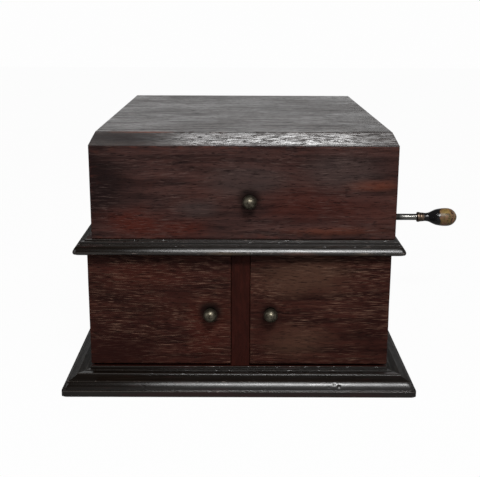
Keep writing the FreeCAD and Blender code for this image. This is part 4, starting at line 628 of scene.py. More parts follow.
# %% Lid boards
LID_EDGE, SIDE_EDGE, SIDE_THICK = 0.0011, 0.0008, 12.0 * MM
make_board("lid_front", "lid", lid_wood, "wood_lid", radius=LID_EDGE, seed=3)
make_board("lid_back", "lid", lid_wood, "wood_lid", radius=LID_EDGE, seed=4)
low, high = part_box("lid_sides")
for name, edges, seed, nodes in (("lid_side_left", (low.x, low.x + SIDE_THICK), 5, ("lid_sides",)),
                                 ("lid_side_right", (high.x - SIDE_THICK, high.x), 6, ())):
    grids, wear = board_grids((edges[0], low.y, low.z), (edges[1], high.y, high.z), radius=SIDE_EDGE, seed=seed)
    make_piece(name + "_board", grids, "lid", lid_side_wood, "wood_lid", nodes, edge=wear)
print("lid: four boards")

# %% [markdown]
# ## Bevelled top
# The top is a thick board whose front and side edges were planed to a broad bevel, with a small step left above it
# in front. A Bevel modifier gives every edge the same slope. Here a profile of the bevel is carried round the
# board, and the back edge, which has no bevel, simply doesn't move in. The slope is marked, because it was polished.

# %% Bevelled top
SETBACK, FRONT_STEP, SIDE_STEP = 8.2 * MM, 1.0 * MM, 0.2 * MM
FRONT_COLUMNS, SIDE_COLUMNS = 90, 60
PLANE_MARKS, WORN_REACH = 0.00005, 1.6 * MM


def bevel_profile(setback, rise, step):
    """Setback and height from the foot of the bevel over a faintly hollow slope and a step to the flat top."""
    bow = np.linspace(0, 1, 9)
    bevel = np.stack([setback * (bow - 0.02 * np.sin(math.pi * bow)), (rise - step) * bow], 1)
    foot = [(0.4 * MM, 0.0), (0.12 * MM, 0.12 * MM), (0.0, 0.5 * MM)]
    head = [(setback, rise - step), (setback + 0.05 * MM, rise - 0.15 * step), (setback + 0.2 * MM, rise),
            (setback + 2 * MM, rise)]
    return np.concatenate([foot, bevel[1:-1], head])


def ring_grid(corners, profile, counts):
    """A profile carried round a rectangle whose corners move in by the profile's setback and up by its height.

    corners are four points with, for each, the way in; a point between two corners lies on the line that joins
    their places for that step of the profile.
    """
    place = np.array([corner[0] for corner in corners])
    inward = np.array([corner[1] for corner in corners])
    setback, height = np.array(profile).T
    ring = place[None] + setback[:, None, None] * inward[None]
    ring[..., 2] += height[:, None]
    following = np.roll(ring, -1, axis=1)
    spans = []
    for side, count in enumerate(counts):
        share = np.linspace(0, 1, count, endpoint=False)[None, :, None]
        spans.append(ring[:, side, None] * (1 - share) + following[:, side, None] * share)
    return np.concatenate(spans, axis=1)


low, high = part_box("lid_top")
rise = high.z - low.z
profile = bevel_profile(SETBACK, rise, FRONT_STEP)
corners = [((low.x, low.y, low.z), (1, 1, 0)), ((high.x, low.y, low.z), (-1, 1, 0)),
           ((high.x, high.y, low.z), (-1, 0, 0)), ((low.x, high.y, low.z), (1, 0, 0))]
columns = (FRONT_COLUMNS, SIDE_COLUMNS, FRONT_COLUMNS, SIDE_COLUMNS)
in_front = np.zeros(sum(columns))
in_front[1:FRONT_COLUMNS] = 1.0
skirt = ring_grid(corners, bevel_profile(SETBACK, rise, SIDE_STEP), columns)
skirt += in_front[None, :, None] * (ring_grid(corners, profile, columns) - skirt)
marks = PLANE_MARKS * (1 + ripple(skirt[1:-1], WEAR_LENGTH, 8))
skirt[1:-1] += marks[..., None] * np.array([0.0, 1.0, -0.6])
worn = np.exp(-np.minimum(profile[:, 1], rise - profile[:, 1]) / WORN_REACH)
sloping = (profile[:, 0] <= SETBACK).astype(float)
make_piece("lid_top_board", [(skirt, True)], "lid", lid_top_wood, "wood_lid", ("lid_top",), smooth=25,
           caps=[skirt[-1], skirt[0]], edge=[spread_rows(worn, skirt)], slope=[spread_rows(sloping, skirt)])
print("lid: bevelled top")

# %% [markdown]
# ## Doors and stile
# Two doors lie on the front of the case with a fixed stile between them. They are plain boards with no panels, so
# all they need is edges: the doors' are rounded most, by hands, and the stile's hardly at all.

# %% Doors and stile
DOOR_EDGE, STILE_EDGE = 0.0014, 0.0006
make_board("door_left", "left_door", door_wood, "wood_case", radius=DOOR_EDGE, seed=11, wear=0.7, reach=0.003)
make_board("door_right", "right_door", door_wood, "wood_case", radius=DOOR_EDGE, seed=12, wear=0.7, reach=0.003)
make_board("centre_stile", "case", stile_wood, "wood_stile", radius=STILE_EDGE, seed=13)
print("case: doors and stile")

# %% [markdown]
# ## Black polish
# The mouldings are ebonised: black polish that has worn thin to red in places, is grey along its arrises and
# chipped there to the pale wood; that grey is partly rubbed polish and partly painted highlight. Under the waist's
# nose the tan and red are partly wear and partly a painted reflection of the doors. A glossy black alone would look
# like plastic. The edges are a mark on the mesh, so the chips lie exactly on the arrises. At the left end the polish
# is glassy and shows the dark room.

# %% Black polish
JET, SMOKY, THIN = (0.0018, 0.0011, 0.0007), (0.0042, 0.0028, 0.002), (0.0085, 0.0022, 0.0019)
RUBBED_GREY_AND_HIGHLIGHT, BARE_WOOD = (0.022, 0.019, 0.017), (0.085, 0.068, 0.06)
# Length along the grain and width across it, in mm, of each noise.
HAIRLINES, THIN_PLACES, CHIPS, SMEARS = (60, 1.6), (45, 9), (9, 2.4), (26, 4)
GLASSY = 0.15


def black_polish(name, grain, shift=0.0, spots=(), shine=0.27, rough=(0.25, 0.36), glassy=None):
    """Ebonised wood: near-black, red where thin, grey along its arrises, partly rubbed and partly painted
    highlight, and chipped there to pale wood.

    glassy is where, in metres along X, its smoothest polish ends and the common one begins.
    """
    finish, tree, shader, place = start_finish(name)
    streak = noise(tree, place, grain, *HAIRLINES, shift, 3.0, 0.6)
    base = mixed(tree, step_up(tree, streak, 0.4, 0.75), JET, SMOKY)
    thin = noise(tree, place, grain, *THIN_PLACES, shift + 4.0, 3.0, 0.6)
    base = mixed(tree, step_up(tree, thin, 0.58, 0.72, 0.5), base, THIN)
    base = spotted(tree, place, base, thin, spots)
    edge = attribute(tree, "edge")
    chip = step_up(tree, noise(tree, place, grain, *CHIPS, shift, 3.0, 0.65), 0.62, 0.69)
    # Grey along the arrises: partly rubbed polish, partly painted highlight.
    base = mixed(tree, times(tree, times(tree, edge, edge), 0.6), base, RUBBED_GREY_AND_HIGHLIGHT)
    base = mixed(tree, times(tree, chip, times(tree, edge, 0.8)), base, BARE_WOOD)
    smear = noise(tree, place, grain, *SMEARS, shift + 8.0, 4.0, 0.65)
    dull = ramp(tree, smear, 0.3, 0.7, *rough)
    if glassy:
        dull = ramp(tree, along_axis(tree, place, "X"), *glassy, GLASSY, dull)
    height = maths(tree, "MULTIPLY_ADD", times(tree, chip, edge), -0.8, streak)
    set_surface(tree, shader, base, dull, height, 0.05, Specular_IOR_Level=shine)
    return finish


# Thin red on the base's band; tan and red under the waist's nose, partly wear and partly a painted reflection of the
# doors.
THIN_RED, WORN_TAN_AND_REFLECTION, WORN_RED_AND_REFLECTION = (0.006, 0.001, 0.0009), (0.03, 0.018, 0.008), (0.03, 0.01, 0.005)
moulding_spots = [((-20, -263, 2), (190, 30, 7), THIN_RED, 0.9), ((-40, -263, 6), (60, 30, 6), THIN_RED, 0.7),
                  ((150, -263, 2), (60, 30, 6), THIN_RED, 0.7), ((-15, -245, 180), (34, 30, 4), WORN_TAN_AND_REFLECTION, 0.8),
                  ((75, -245, 180), (30, 30, 4), WORN_RED_AND_REFLECTION, 0.8), ((150, -245, 180), (20, 30, 4), WORN_TAN_AND_REFLECTION, 0.5)]
moulding_front = black_polish("moulding_front_polish", ALONG_X, spots=moulding_spots, glassy=(-0.15, -0.06))
moulding_side = black_polish("moulding_side_polish", ALONG_Y, 6.0, shine=0.08, rough=(0.5, 0.65))
print("finishes: two black polishes")

# %% [markdown]
# ## Outlines of the mouldings
# The waist and base were planed in long lengths. Each has one outline, of straight runs and arcs. It could be drawn
# as a curve object; written as corners, the steps can be checked against the photograph. The outline is averaged
# with its neighbours, which rounds every arris as wear does, and where it bends most it is marked as worn.

# %% Outlines
ARRIS_BEND, ARRIS_START = 0.2, 0.2


def outline_points(corners, step):
    """An outline of straight runs and arcs in equal steps; a corner's third number is the bulge of the arc after
    it, the tangent of a quarter of its angle."""
    corners = [(*corner, 0.0)[:3] for corner in corners]
    runs = []
    for (x0, y0, bulge), (x1, y1, _) in zip(corners, corners[1:]):
        start, chord = np.array((x0, y0)), np.array((x1 - x0, y1 - y0))
        length = np.hypot(*chord)
        share = np.linspace(0, 1, max(2, int(round(length / step)) + 1))[:-1]
        if bulge:
            half = 2 * math.atan(bulge)
            turned = (2 * share - 1) * half
            along = 0.5 + 0.5 * np.sin(turned) / math.sin(half)
            aside = 0.5 * (np.cos(turned) - math.cos(half)) / math.sin(half)
        else:
            along, aside = share, 0 * share
        runs.append(start + along[:, None] * chord + aside[:, None] * np.array((chord[1], -chord[0])))
    return np.concatenate([*runs, [corners[-1][:2]]])


def worn_outline(corners, step):
    """An outline averaged with its neighbours; its wear is how sharply it bends outwards, from 0 to 1."""
    line = outline_points(corners, step)
    line[1:-1] = (line[:-2] + 2 * line[1:-1] + line[2:]) / 4
    way = np.gradient(line, axis=0)
    outward = np.stack([way[:, 1], -way[:, 0]], 1) / np.maximum(np.hypot(*way.T), TINY)[:, None]
    bend = np.zeros(len(line))
    bend[1:-1] = -np.sum((line[:-2] - 2 * line[1:-1] + line[2:]) * outward[1:-1], axis=1)
    return line, outward, np.clip(bend / (ARRIS_BEND * step) - ARRIS_START, 0, 1)


# Corners are distance out from the case, height, and the bulge of the arc that follows, in mm.
BASE_OUT, BASE_TOP = 33.5, 28.0
base_corners = [(BASE_OUT - 0.8, 0, 0.41), (BASE_OUT, 0.8), (BASE_OUT, 7.4, 0.41), (BASE_OUT - 0.9, 8.3),
                (BASE_OUT - 2.2, 8.3), (BASE_OUT - 2.2, 9.0, 0.15), (BASE_OUT - 7.6, 18.1, -0.10),
                (BASE_OUT - 18.0, BASE_TOP - 4.9), (BASE_OUT - 18.0, BASE_TOP - 3.6),
                (BASE_OUT - 27.0, BASE_TOP - 3.6), (BASE_OUT - 27.0, BASE_TOP - 2.8), (1.0, BASE_TOP - 2.8),
                (1.0, BASE_TOP), (0.4, BASE_TOP)]
WAIST_OUT, WAIST_LOW, WAIST_TOP = 15.7, 177.5, 194.3
waist_corners = [(WAIST_OUT - 2.5, WAIST_LOW, 0.35), (WAIST_OUT, WAIST_LOW + 3.6, 0.15),
                 (WAIST_OUT - 5.2, WAIST_LOW + 10.6), (WAIST_OUT - 6.2, WAIST_LOW + 10.8),
                 (WAIST_OUT - 5.7, WAIST_TOP - 4.4),
                 (WAIST_OUT - 8.7, WAIST_TOP - 4.4), (WAIST_OUT - 8.7, WAIST_TOP - 1.3), (2.0, WAIST_TOP - 1.3),
                 (2.0, WAIST_TOP), (0.4, WAIST_TOP)]
print("outlines: base, waist")

# %% [markdown]
# ## Mouldings along the case
# A moulding is one outline carried along a straight run, so its grid is the outline times the run. The mitres at
# the front corners could be cut with a Boolean; here each point simply runs on by its own distance out from the
# case, and the ends meet. Knocks are small dents in the grid, and chips pull in the arrises that are marked as worn.

# %% Mouldings along the case
OUTLINE_STEP, FRONT_RUN_STEP, SIDE_RUN_STEP = 0.5, 1.0, 2.5
CHIP_LENGTH, CHIP_DEPTH, CHIP_SQUASH = 15.0, 0.5, 3
CHIP_STEEP, CHIP_RARE = 4, 1.8
SAG_LENGTH, SAG_DEPTH = 160.0, 0.03
KNOCKED_OFF, KNOCKED_REACH = 1.1, 2.5


def moulding_grid(corners, place, run, step, mitres, seed, dents=()):
    """A worn outline carried along a run; returns the grid and its wear.

    place turns (distance out, along, height) into a point. The run gives the along of both ends at no distance
    out, and mitres how far each end moves per distance out. Chips pull the worn arrises in, dents the faces, and
    the outer corner at a mitre is knocked off a little. All lengths are in mm until the end.
    """
    line, outward, wear = worn_outline(corners, OUTLINE_STEP)
    line = np.concatenate([[(0, line[0, 1])], line, [(0, line[-1, 1])]])
    outward, wear = np.pad(outward, ((1, 1), (0, 0))), np.pad(wear, 1)
    out, height = line.T
    share = np.linspace(0, 1, int((run[1] - run[0]) / step))[:, None]
    middle = run[0] + share * (run[1] - run[0]) + 0 * out
    stretch = mitres[0] * (1 - share) + mitres[1] * share
    spread = np.stack(np.broadcast_arrays(middle, CHIP_SQUASH * out, CHIP_SQUASH * height), -1)
    chip = np.clip(CHIP_STEEP * ripple(spread, CHIP_LENGTH, seed) - CHIP_RARE, 0, 1)
    sink = CHIP_DEPTH * chip * wear + SAG_DEPTH * (1 + ripple(spread, SAG_LENGTH, seed + 1))
    for along, level, size, depth in dents:
        apart = (middle + out * stretch - along) ** 2 + (height - level) ** 2
        sink = sink + depth * np.exp(-apart / size ** 2)
    for end, mitre in zip(run, mitres):
        tip = np.exp(-((middle - end) / KNOCKED_REACH) ** 2) * (out / out.max()) ** 4
        sink = sink + KNOCKED_OFF * abs(mitre) * tip
    far = out - sink * outward[:, 0]
    level = np.clip(height - sink * outward[:, 1], height.min(), height.max())
    along = middle + far * stretch
    return place(far, along, level) * MM, np.broadcast_to(wear, middle.shape)


low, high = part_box("base_moulding_front")
FRONT, HALF_WIDTH, BACK = high.y / MM, -low.x / MM - BASE_OUT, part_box("base_moulding_sides")[1].y / MM


def along_front(out, along, height):
    """Points in front of the case."""
    return np.stack([along, FRONT - out, height], -1)


def along_left(out, along, height):
    """Points left of the case."""
    return np.stack([-HALF_WIDTH - out, along, height], -1)


def along_right(out, along, height):
    """Points right of the case."""
    return np.stack([HALF_WIDTH + out, along, height], -1)


print(f"mouldings: run {2 * HALF_WIDTH:.0f} mm in front, {BACK - FRONT:.0f} mm at the sides")

# %% Base and waist
# Each dent is its place along the front, its height, its radius and its depth, in mm.
base_dents = [(124.5, 13.2, 1.6, 0.8), (118.6, 15.6, 1.2, 0.5), (112.0, 12.2, 1.0, 0.35), (-118.0, 12.6, 1.0, 0.3)]
for name, corners, dents, seed in (("base", base_corners, base_dents, 21), ("waist", waist_corners, (), 41)):
    grid, wear = moulding_grid(corners, along_front, (-HALF_WIDTH, HALF_WIDTH), FRONT_RUN_STEP, (-1, 1), seed, dents)
    make_piece(f"{name}_front_run", [(grid, True)], "case", moulding_front, "wood_black", (f"{name}_moulding_front",),
               smooth=50, caps=[grid[0], grid[-1]], edge=[wear])
    node = f"{name}_moulding_sides"
    for side, place, nodes in (("left", along_left, (node,)), ("right", along_right, ())):
        grid, wear = moulding_grid(corners, place, (FRONT, BACK), SIDE_RUN_STEP, (-1, 0), seed + len(side))
        make_piece(f"{name}_{side}_run", [(grid, True)], "case", moulding_side, "wood_black", nodes, smooth=50,
                   caps=[grid[0], grid[-1]], edge=[wear])
print("mouldings: base and waist, front and sides")

# %% [markdown]
# ## Metals
# The knobs are brass gone dark. Rod and tonearm are nickel-plated, with fine wiping marks and a little tarnish, and
# the motor is steel, brass and black iron. A metal is little more than its colour and roughness, so one function
# makes them all: bright where it is wiped, dull in patches, with dirt and painted shade where a piece marks it.

# %% Metals
WIPE_MARKS, GRIME_AND_SHADE_DULL = (1.1, 1.1), 0.75


def metal(name, bright, dull, rough, size, share=(0.42, 0.66), metallic=1.0, grit=0.12):
    """Plated or plain metal: bright where wiped, dull in patches, with fine marks, and dirt and painted
    shade where a piece marks it.
    """
    finish, tree, shader, place = start_finish(name)
    tarnish = step_up(tree, noise(tree, place, ALONG_X, size, size, 0.0, 5.0, 0.6), *share)
    fine = noise(tree, place, ALONG_X, *WIPE_MARKS, 0.0, 3.0, 0.6)
    tarnish = times(tree, tarnish, step_up(tree, fine, 0.25, 0.6))
    # A piece's mark darkens and dulls it: dirt, and painted shade where the piece marks that.
    grime = attribute(tree, "grime")
    base = mixed(tree, grime, mixed(tree, tarnish, bright, dull), tinted(dull, 0.15))
    rubbed = blend(tree, grime, blend(tree, tarnish, *rough), GRIME_AND_SHADE_DULL)
    set_surface(tree, shader, base, rubbed, fine, grit, Metallic=metallic)
    return finish


dark_brass = metal("dark_brass", bright=(0.105, 0.094, 0.07), dull=(0.022, 0.018, 0.013), rough=(0.4, 0.58), size=5.0,
                   share=(0.36, 0.6))
ferrule_brass = metal("ferrule_brass", bright=(0.13, 0.095, 0.07), dull=(0.014, 0.01, 0.008), rough=(0.32, 0.52),
                      size=4.0, share=(0.36, 0.6))
plain_brass = metal("plain_brass", bright=(0.62, 0.43, 0.17), dull=(0.30, 0.19, 0.07), rough=(0.24, 0.45), size=18.0)
rod_nickel = metal("rod_nickel", bright=(0.15, 0.147, 0.138), dull=(0.04, 0.037, 0.033), rough=(0.17, 0.2), size=16.0,
                   share=(0.62, 0.85), grit=0.0)
nickel = metal("nickel", bright=(0.66, 0.64, 0.60), dull=(0.40, 0.37, 0.31), rough=(0.14, 0.34), size=12.0,
               share=(0.5, 0.75), grit=0.03)
steel = metal("steel", bright=(0.52, 0.52, 0.53), dull=(0.30, 0.28, 0.26), rough=(0.28, 0.46), size=10.0, grit=0.06)
black_iron = metal("black_iron", bright=(0.022, 0.022, 0.022), dull=(0.05, 0.042, 0.036), rough=(0.42, 0.62), size=9.0,
                   metallic=0.0, grit=0.4)
print("finishes: seven metals")

# %% [markdown]
# ## Turned pieces
# Knobs, ferrule and handle came from a lathe: a profile spun round an axis, as the Spin tool or a Screw modifier does
# it. Worked out as a grid, the same surface can be dented and soiled row by row. The profile itself is a smooth
# curve through a few measured points, so that it has no flats.

# %% Turned pieces


def turned_grid(profile, point, axis, side, segments=64):
    """A profile of (radius, along) spun round an axis: the point plus along times the axis, plus radius times a
    circle of the two directions across it."""
    profile = np.array(profile, float)
    axis, side = np.array(axis, float), np.array(side, float)
    other = np.cross(axis, side)
    angle = np.linspace(0, 2 * math.pi, segments, endpoint=False)
    circle = np.cos(angle)[:, None] * side + np.sin(angle)[:, None] * other
    return np.array(point) + profile[:, 1, None, None] * axis + profile[:, 0, None, None] * circle


def smooth_line(points, count):
    """A curve through points: each span is the usual cubic whose slopes are those of the neighbouring points."""
    points = np.array(points, float)
    padded = np.concatenate([2 * points[:1] - points[1:2], points, 2 * points[-1:] - points[-2:-1]])
    before, start, end, after = padded[:-3], padded[1:-2], padded[2:-1], padded[3:]
    t = np.linspace(0, 1, count, endpoint=False)[None, :, None]
    before, start, end, after = [span[:, None] for span in (before, start, end, after)]
    curve = 0.5 * (2 * start + (end - before) * t + (2 * before - 5 * start + 4 * end - after) * t ** 2
                   + (3 * start - before - 3 * end + after) * t ** 3)
    return np.concatenate([curve.reshape(-1, points.shape[1]), points[-1:]])


print("helpers: turned pieces")

# %% [markdown]
# ## Knobs
# The three ball knobs are of one pattern: a foot, a neck and a ball, spun as one profile. A sphere and a cylinder
# would meet in a hard line; the profile runs smoothly from one into the other. Use has dented the balls by about a
# tenth of a millimetre, and the one on the right door has a small hollow at its front. Each knob is darkened from the
# back of its ball to its foot: dirt in the neck, painted shade on the foot and the back of the ball.

# %% Knobs
KNOB_BALL, KNOB_FOOT, BALL_TURN = 8.8, 7.2, 150
HOLLOW_REACH = 2.0
DENT_LENGTH, DENT_SHARE = 0.007, 0.009


def ball_knob(name, body, hollow, seed):
    """A knob: foot, neck and ball, then dents along the radius. hollow is the depth of a dimple in front, in mm."""
    low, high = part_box(name)
    reach = (high.y - low.y) / MM
    turn = np.radians(np.linspace(BALL_TURN, 0, 44))
    ball = np.stack([KNOB_BALL * np.sin(turn), reach - KNOB_BALL + KNOB_BALL * np.cos(turn)], 1)
    ball[:, 1] -= hollow * np.exp(-(ball[:, 0] / HOLLOW_REACH) ** 2)
    foot = smooth_line([(KNOB_FOOT, 0.0), (KNOB_FOOT, 0.9), (KNOB_FOOT - 0.9, 1.9), (KNOB_BALL * 0.56, 2.4),
                        (KNOB_BALL * 0.47, 3.0)], 5)
    profile = np.concatenate([[(0.0, 0.0)], foot, ball]) * MM
    point = ((low.x + high.x) / 2, high.y, (low.z + high.z) / 2)
    grid = turned_grid(profile, point, (0, -1, 0), (1, 0, 0), 72)
    dent = 1 - DENT_SHARE * (1 + ripple(grid, DENT_LENGTH, seed))[..., None]
    middle = np.array(point) + np.array([0, -1, 0]) * profile[:, 1, None, None]
    grid = middle + (grid - middle) * dent
    # Darkened from the back of the ball to the foot: dirt in the neck, painted shade on the foot and the back of the
    # ball.
    grime = np.clip((reach - 0.95 * KNOB_BALL - profile[:, 1] / MM) / (0.35 * KNOB_BALL), 0, 1)
    make_piece(name + "_turned", [(grid, True)], body, dark_brass, "bronze", (name,), smooth=55,
               grime=[spread_rows(grime, grid)])


ball_knob("lid_knob", "lid", 0.0, 51)
ball_knob("door_knob_left", "left_door", 0.0, 52)
ball_knob("door_knob_right", "right_door", 0.8, 53)
print("knobs: three")

# %% [markdown]
# ## Tubes
# A bent rod is a circle carried along a line, which is what a curve object with a bevel gives. As a grid its radius
# can change along the way, and its ends are closed like those of any other piece.

# %% Tubes
BEND_STEPS = 14


def flat_path(corners, bends):
    """A path in a plane through corners, each rounded by an arc of the given radius that touches both runs."""
    corners = np.array(corners, float)
    path = [corners[:1]]
    for corner, before, after, bend in zip(corners[1:-1], corners[:-2], corners[2:], bends):
        into, out = (corner - before), (after - corner)
        into, out = into / np.linalg.norm(into), out / np.linalg.norm(out)
        turn = math.acos(np.clip(into @ out, -1, 1))
        centre_way = (out - into) / np.linalg.norm(out - into)
        centre = corner + centre_way * bend / math.cos(turn / 2)
        share = np.linspace(-turn / 2, turn / 2, BEND_STEPS)[:, None]
        along = (into + out) / np.linalg.norm(into + out)
        path.append(centre - bend * np.cos(share) * centre_way + bend * np.sin(share) * along)
    path.append(corners[-1:])
    return np.concatenate(path)


def tube_grid(path, radius, normal, segments):
    """A tube along a flat path: circles across its direction, in the plane's normal and their cross product."""
    path, normal = np.array(path, float), np.array(normal, float)
    direction = np.gradient(path, axis=0)
    direction /= np.linalg.norm(direction, axis=1, keepdims=True)
    aside = np.cross(direction, normal)
    angle = np.linspace(0, 2 * math.pi, segments, endpoint=False)
    circle = np.cos(angle)[None, :, None] * aside[:, None] + np.sin(angle)[None, :, None] * normal
    return path[:, None] + radius[:, None, None] * circle


print("helpers: tubes")

# %% [markdown]
# ## Crank rod
# The crank is a round rod bent twice in one plane. A curve with a bevel makes such a rod too; here the path is three
# straight runs with arcs that touch them, and rings are set close along the last run, where painted shade darkens the
# metal next to the case.
# Past a small chamfer the rod goes on as a thin pin, on which the handle turns.

# %% Crank rod
ROD, PIN, BEND, ARM_X = 5.0 * MM, 3.0 * MM, 15.0 * MM, 214.0 * MM
CHAMFER, PLAY = 0.6 * MM, 0.3 * MM
# Painted shade on the rod next to the case: how dark, where its middle lies along X, and its reach, in mm.
ROD_SHADE, ROD_SHADE_PLACE, ROD_SHADE_REACH = 0.9, 247.0, 9.0
low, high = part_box("crank_rod")
ferrule_low, ferrule_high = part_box("crank_ferrule")
shaft_y, handle_y, crank_z = low.y + ROD, high.y - ROD, (low.z + high.z) / 2
stub_end = ferrule_low.x - PLAY
path = flat_path([(low.x, shaft_y), (ARM_X, shaft_y), (ARM_X, handle_y), (stub_end - CHAMFER, handle_y)], (BEND, BEND))
path = np.concatenate([path[:-2], np.linspace(path[-2], path[-1], 16),
                       [(stub_end, handle_y), (stub_end + 0.01 * MM, handle_y), (high.x, handle_y)]])
radius = np.full(len(path), ROD)
radius[-3:] = ROD - CHAMFER, PIN, PIN
path = np.concatenate([path, np.full((len(path), 1), crank_z)], axis=1)
tube = tube_grid(path, radius, (0, 0, 1), 40)
grime = ROD_SHADE * np.exp(-((path[:, 0] / MM - ROD_SHADE_PLACE) / ROD_SHADE_REACH) ** 2)
make_piece("crank_bent_rod", [(tube, True)], "crank", rod_nickel, "nickel", ("crank_rod",), smooth=40,
           caps=[tube[0], tube[-1]], grime=[spread_rows(grime, tube)])
print("crank: rod")

# %% [markdown]
# ## Lacquer of the handle
# The crank's handle was lacquered black. The hand has worn its thick end down to ochre wood and left dark specks; its
# tip is dark too, partly lacquer left there and partly painted shade. Two materials with a border between them could
# do this, but the border is ragged, so one material switches over along X with a noise added to the place.

# %% Lacquer
LACQUER, SPECK_AND_SHADE = (0.0045, 0.0042, 0.0045), (0.006, 0.0027, 0.0018)
OCHRE, PINK_OCHRE, YELLOW_OCHRE = (0.064, 0.042, 0.0135), (0.09, 0.043, 0.023), (0.13, 0.085, 0.024)
RAGGED_BORDER, BORDER_SHAPE = 12.0, (6, 4)
TINTS, SPECKS, YELLOW_REACH = (8, 8), (3.8, 3.8), (10, 13, 7)


def worn_lacquer(name, border, end, patch):
    """Black lacquer worn to ochre wood past a ragged border (mm along X), yellow in a patch, dark at its end:
    partly lacquer left on the tip, partly painted shade.
    """
    finish, tree, shader, place = start_finish(name)
    along = times(tree, along_axis(tree, place, "X"), PER_METRE)
    ragged = noise(tree, place, ALONG_X, *BORDER_SHAPE, 0.0, 3.0, 0.6)
    along = maths(tree, "ADD", along, maths(tree, "MULTIPLY_ADD", ragged, RAGGED_BORDER, -RAGGED_BORDER / 2))
    worn = step_up(tree, along, border - 0.6, border + 0.6)
    tint = noise(tree, place, ALONG_X, *TINTS, 2.0, 3.0, 0.6)
    ochre = mixed(tree, step_up(tree, tint, 0.42, 0.6), OCHRE, PINK_OCHRE)
    ochre = mixed(tree, spot(tree, place, patch, YELLOW_REACH, tint, 0.9), ochre, YELLOW_OCHRE)
    speck = step_up(tree, noise(tree, place, ALONG_X, *SPECKS, 5.0, 3.0, 0.6), 0.51, 0.6)
    late = step_up(tree, along, border + 2.0, end - 6.0)
    specks = times(tree, speck, blend(tree, late, 0.25, 0.95))
    # The dark end is partly lacquer left on the tip and partly painted shade.
    tip = step_up(tree, along, end - 3.5, end - 0.5)
    bare = mixed(tree, maths(tree, "MAXIMUM", specks, tip), ochre, SPECK_AND_SHADE)
    base = mixed(tree, worn, LACQUER, bare)
    height = maths(tree, "SUBTRACT", speck, worn)
    set_surface(tree, shader, base, blend(tree, worn, 0.16, 0.4), height, 0.3, Specular_IOR_Level=0.2)
    return finish


handle_lacquer = worn_lacquer("handle_lacquer", border=312.0, end=339.5, patch=(320, 62, 163))
print("finish: handle's lacquer")

# %% [markdown]
# ## Ferrule and handle
# A brass ferrule and a pear-shaped wooden handle sit on the pin, and turn freely together. Both were turned on a
# lathe and bored. Their profiles go out along the surface and come back through the hole, so each is one closed
# skin, and no Boolean is needed for the bore.

# %% Ferrule and handle
BORE, HANDLE_CAP = 3.05, 9.0


def bored(profile, end):
    """A turned outline closed along a hole: the outline, then back through the hole from its end to the start."""
    return np.concatenate([[(BORE, 0.0)], profile, [(BORE, end), (BORE, 0.0)]]) * MM


length = (ferrule_high.x - ferrule_low.x) / MM
ferrule = smooth_line([(6.6, 0.0), (7.5, 0.6), (7.78, 1.8), (7.7, 3.6), (7.35, 4.6), (6.95, 5.4), (7.0, 6.6),
                       (6.9, 8.4), (6.65, length)], 6)
grid = turned_grid(bored(ferrule, length), (ferrule_low.x, handle_y, crank_z), (1, 0, 0), (0, 1, 0))
make_piece("crank_ferrule_turned", [(grid, True)], "handle", ferrule_brass, "bronze", ("crank_ferrule",), smooth=50)

low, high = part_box("crank_handle")
length = (high.x - low.x) / MM
pear = smooth_line([(6.45, 0.0), (6.5, 3.2), (7.15, 7.2), (8.9, 11.2), (10.85, 15.2), (12.3, 19.1), (13.1, 23.1),
                    (13.65, 27.1), (13.95, 31.1), (13.95, 35.1), (13.55, 39.1), (12.2, 43.1), (9.2, 47.1),
                    (5.2, 50.0), (2.2, 51.1), (0.0, length)], 6)
bottom = length - HANDLE_CAP
outline = np.concatenate([pear, [(0.0, bottom)]])
grid = turned_grid(bored(outline, bottom), (low.x, handle_y, crank_z), (1, 0, 0), (0, 1, 0), 80)
make_piece("crank_handle_turned", [(grid, True)], "handle", handle_lacquer, "wood_handle", ("crank_handle",),
           smooth=50)
print("crank: ferrule and handle")

# %% [markdown]
# ## Felt and mica
# The turntable is covered with green felt, and the soundbox has a clear flake of mica for its diaphragm. Hair
# particles would make real fibres, but at this size a fine noise in the bump and a soft sheen look the same. The
# mica lets a third of the light through.

# %% Felt and mica
FELT_DARK, FELT_WORN, FELT_FIBRE = (0.016, 0.036, 0.019), (0.034, 0.056, 0.03), (0.055, 0.08, 0.045)
MICA_DARK, MICA_CLOUDY = (0.50, 0.45, 0.36), (0.66, 0.61, 0.52)
WORN_FELT, FIBRES, CLOUDS, LAYERS = (40, 40), (0.9, 0.9), (9, 9), (5, 0.8)


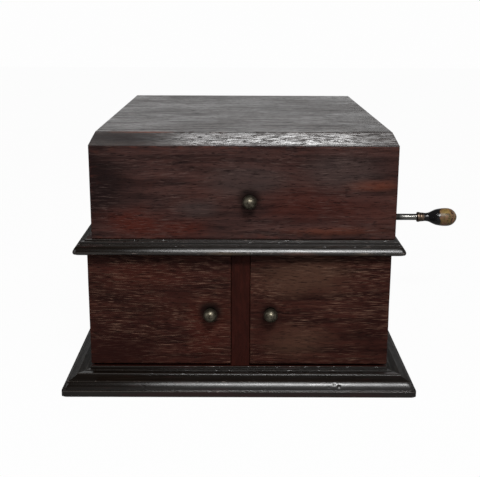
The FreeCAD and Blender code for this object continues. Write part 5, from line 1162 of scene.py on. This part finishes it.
def felt(name):
    """Felt: matted fibres in two sizes of noise, a soft sheen and a fuzzy bump."""
    finish, tree, shader, place = start_finish(name)
    worn = noise(tree, place, ALONG_X, *WORN_FELT, 0.0, 3.0, 0.6)
    fibres = noise(tree, place, ALONG_X, *FIBRES, 0.0, 4.0, 0.7)
    base = mixed(tree, step_up(tree, worn, 0.35, 0.7), FELT_DARK, FELT_WORN)
    base = mixed(tree, step_up(tree, fibres, 0.45, 0.7, 0.5), base, FELT_FIBRE)
    set_surface(tree, shader, base, 0.95, fibres, 0.7, DEEP_BUMP, Sheen_Weight=0.4)
    return finish


def flake(name):
    """Mica: a clear brownish flake with cloudy patches and fine layers."""
    finish, tree, shader, place = start_finish(name)
    cloud = noise(tree, place, ALONG_X, *CLOUDS, 0.0, 3.0, 0.6)
    base = mixed(tree, step_up(tree, cloud, 0.35, 0.7), MICA_DARK, MICA_CLOUDY)
    layers = noise(tree, place, ALONG_X, *LAYERS)
    set_surface(tree, shader, base, 0.22, layers, 0.1, Transmission_Weight=0.35)
    return finish


felt_green = felt("felt_green")
mica = flake("mica")
print("finishes: felt, mica")

# %% [markdown]
# ## What stays as CAD
# Hinges, deck, motor, horn and the plain boards behind have the right shape already. Rebuilding them would only
# risk their fits, so every other node keeps its own mesh and gets the finish of its slot, or one of its own where
# its grain runs another way.

# %% Finishes for the CAD nodes
slot_finish = {"wood_lid": lid_wood, "wood_case": case_side_wood, "wood_stile": rail_wood_painted_shade,
               "wood_black": moulding_front, "wood_inside": inside_wood, "wood_handle": handle_lacquer,
               "bronze": dark_brass, "brass": plain_brass, "nickel": nickel, "steel": steel, "iron": black_iron,
               "felt": felt_green, "mica": mica}
own_finish = {"back_panel": case_back_wood, "motor_board": deck_wood, "horn_cheeks": inside_long_wood,
              "motor_board_cleats": inside_long_wood}
for part in frame["record"]["subparts"]:
    mesh = frame["nodes"][part["node"]].data
    mesh.materials.clear()
    mesh.materials.append(own_finish.get(part["node"], slot_finish[part["material_slot"]]))
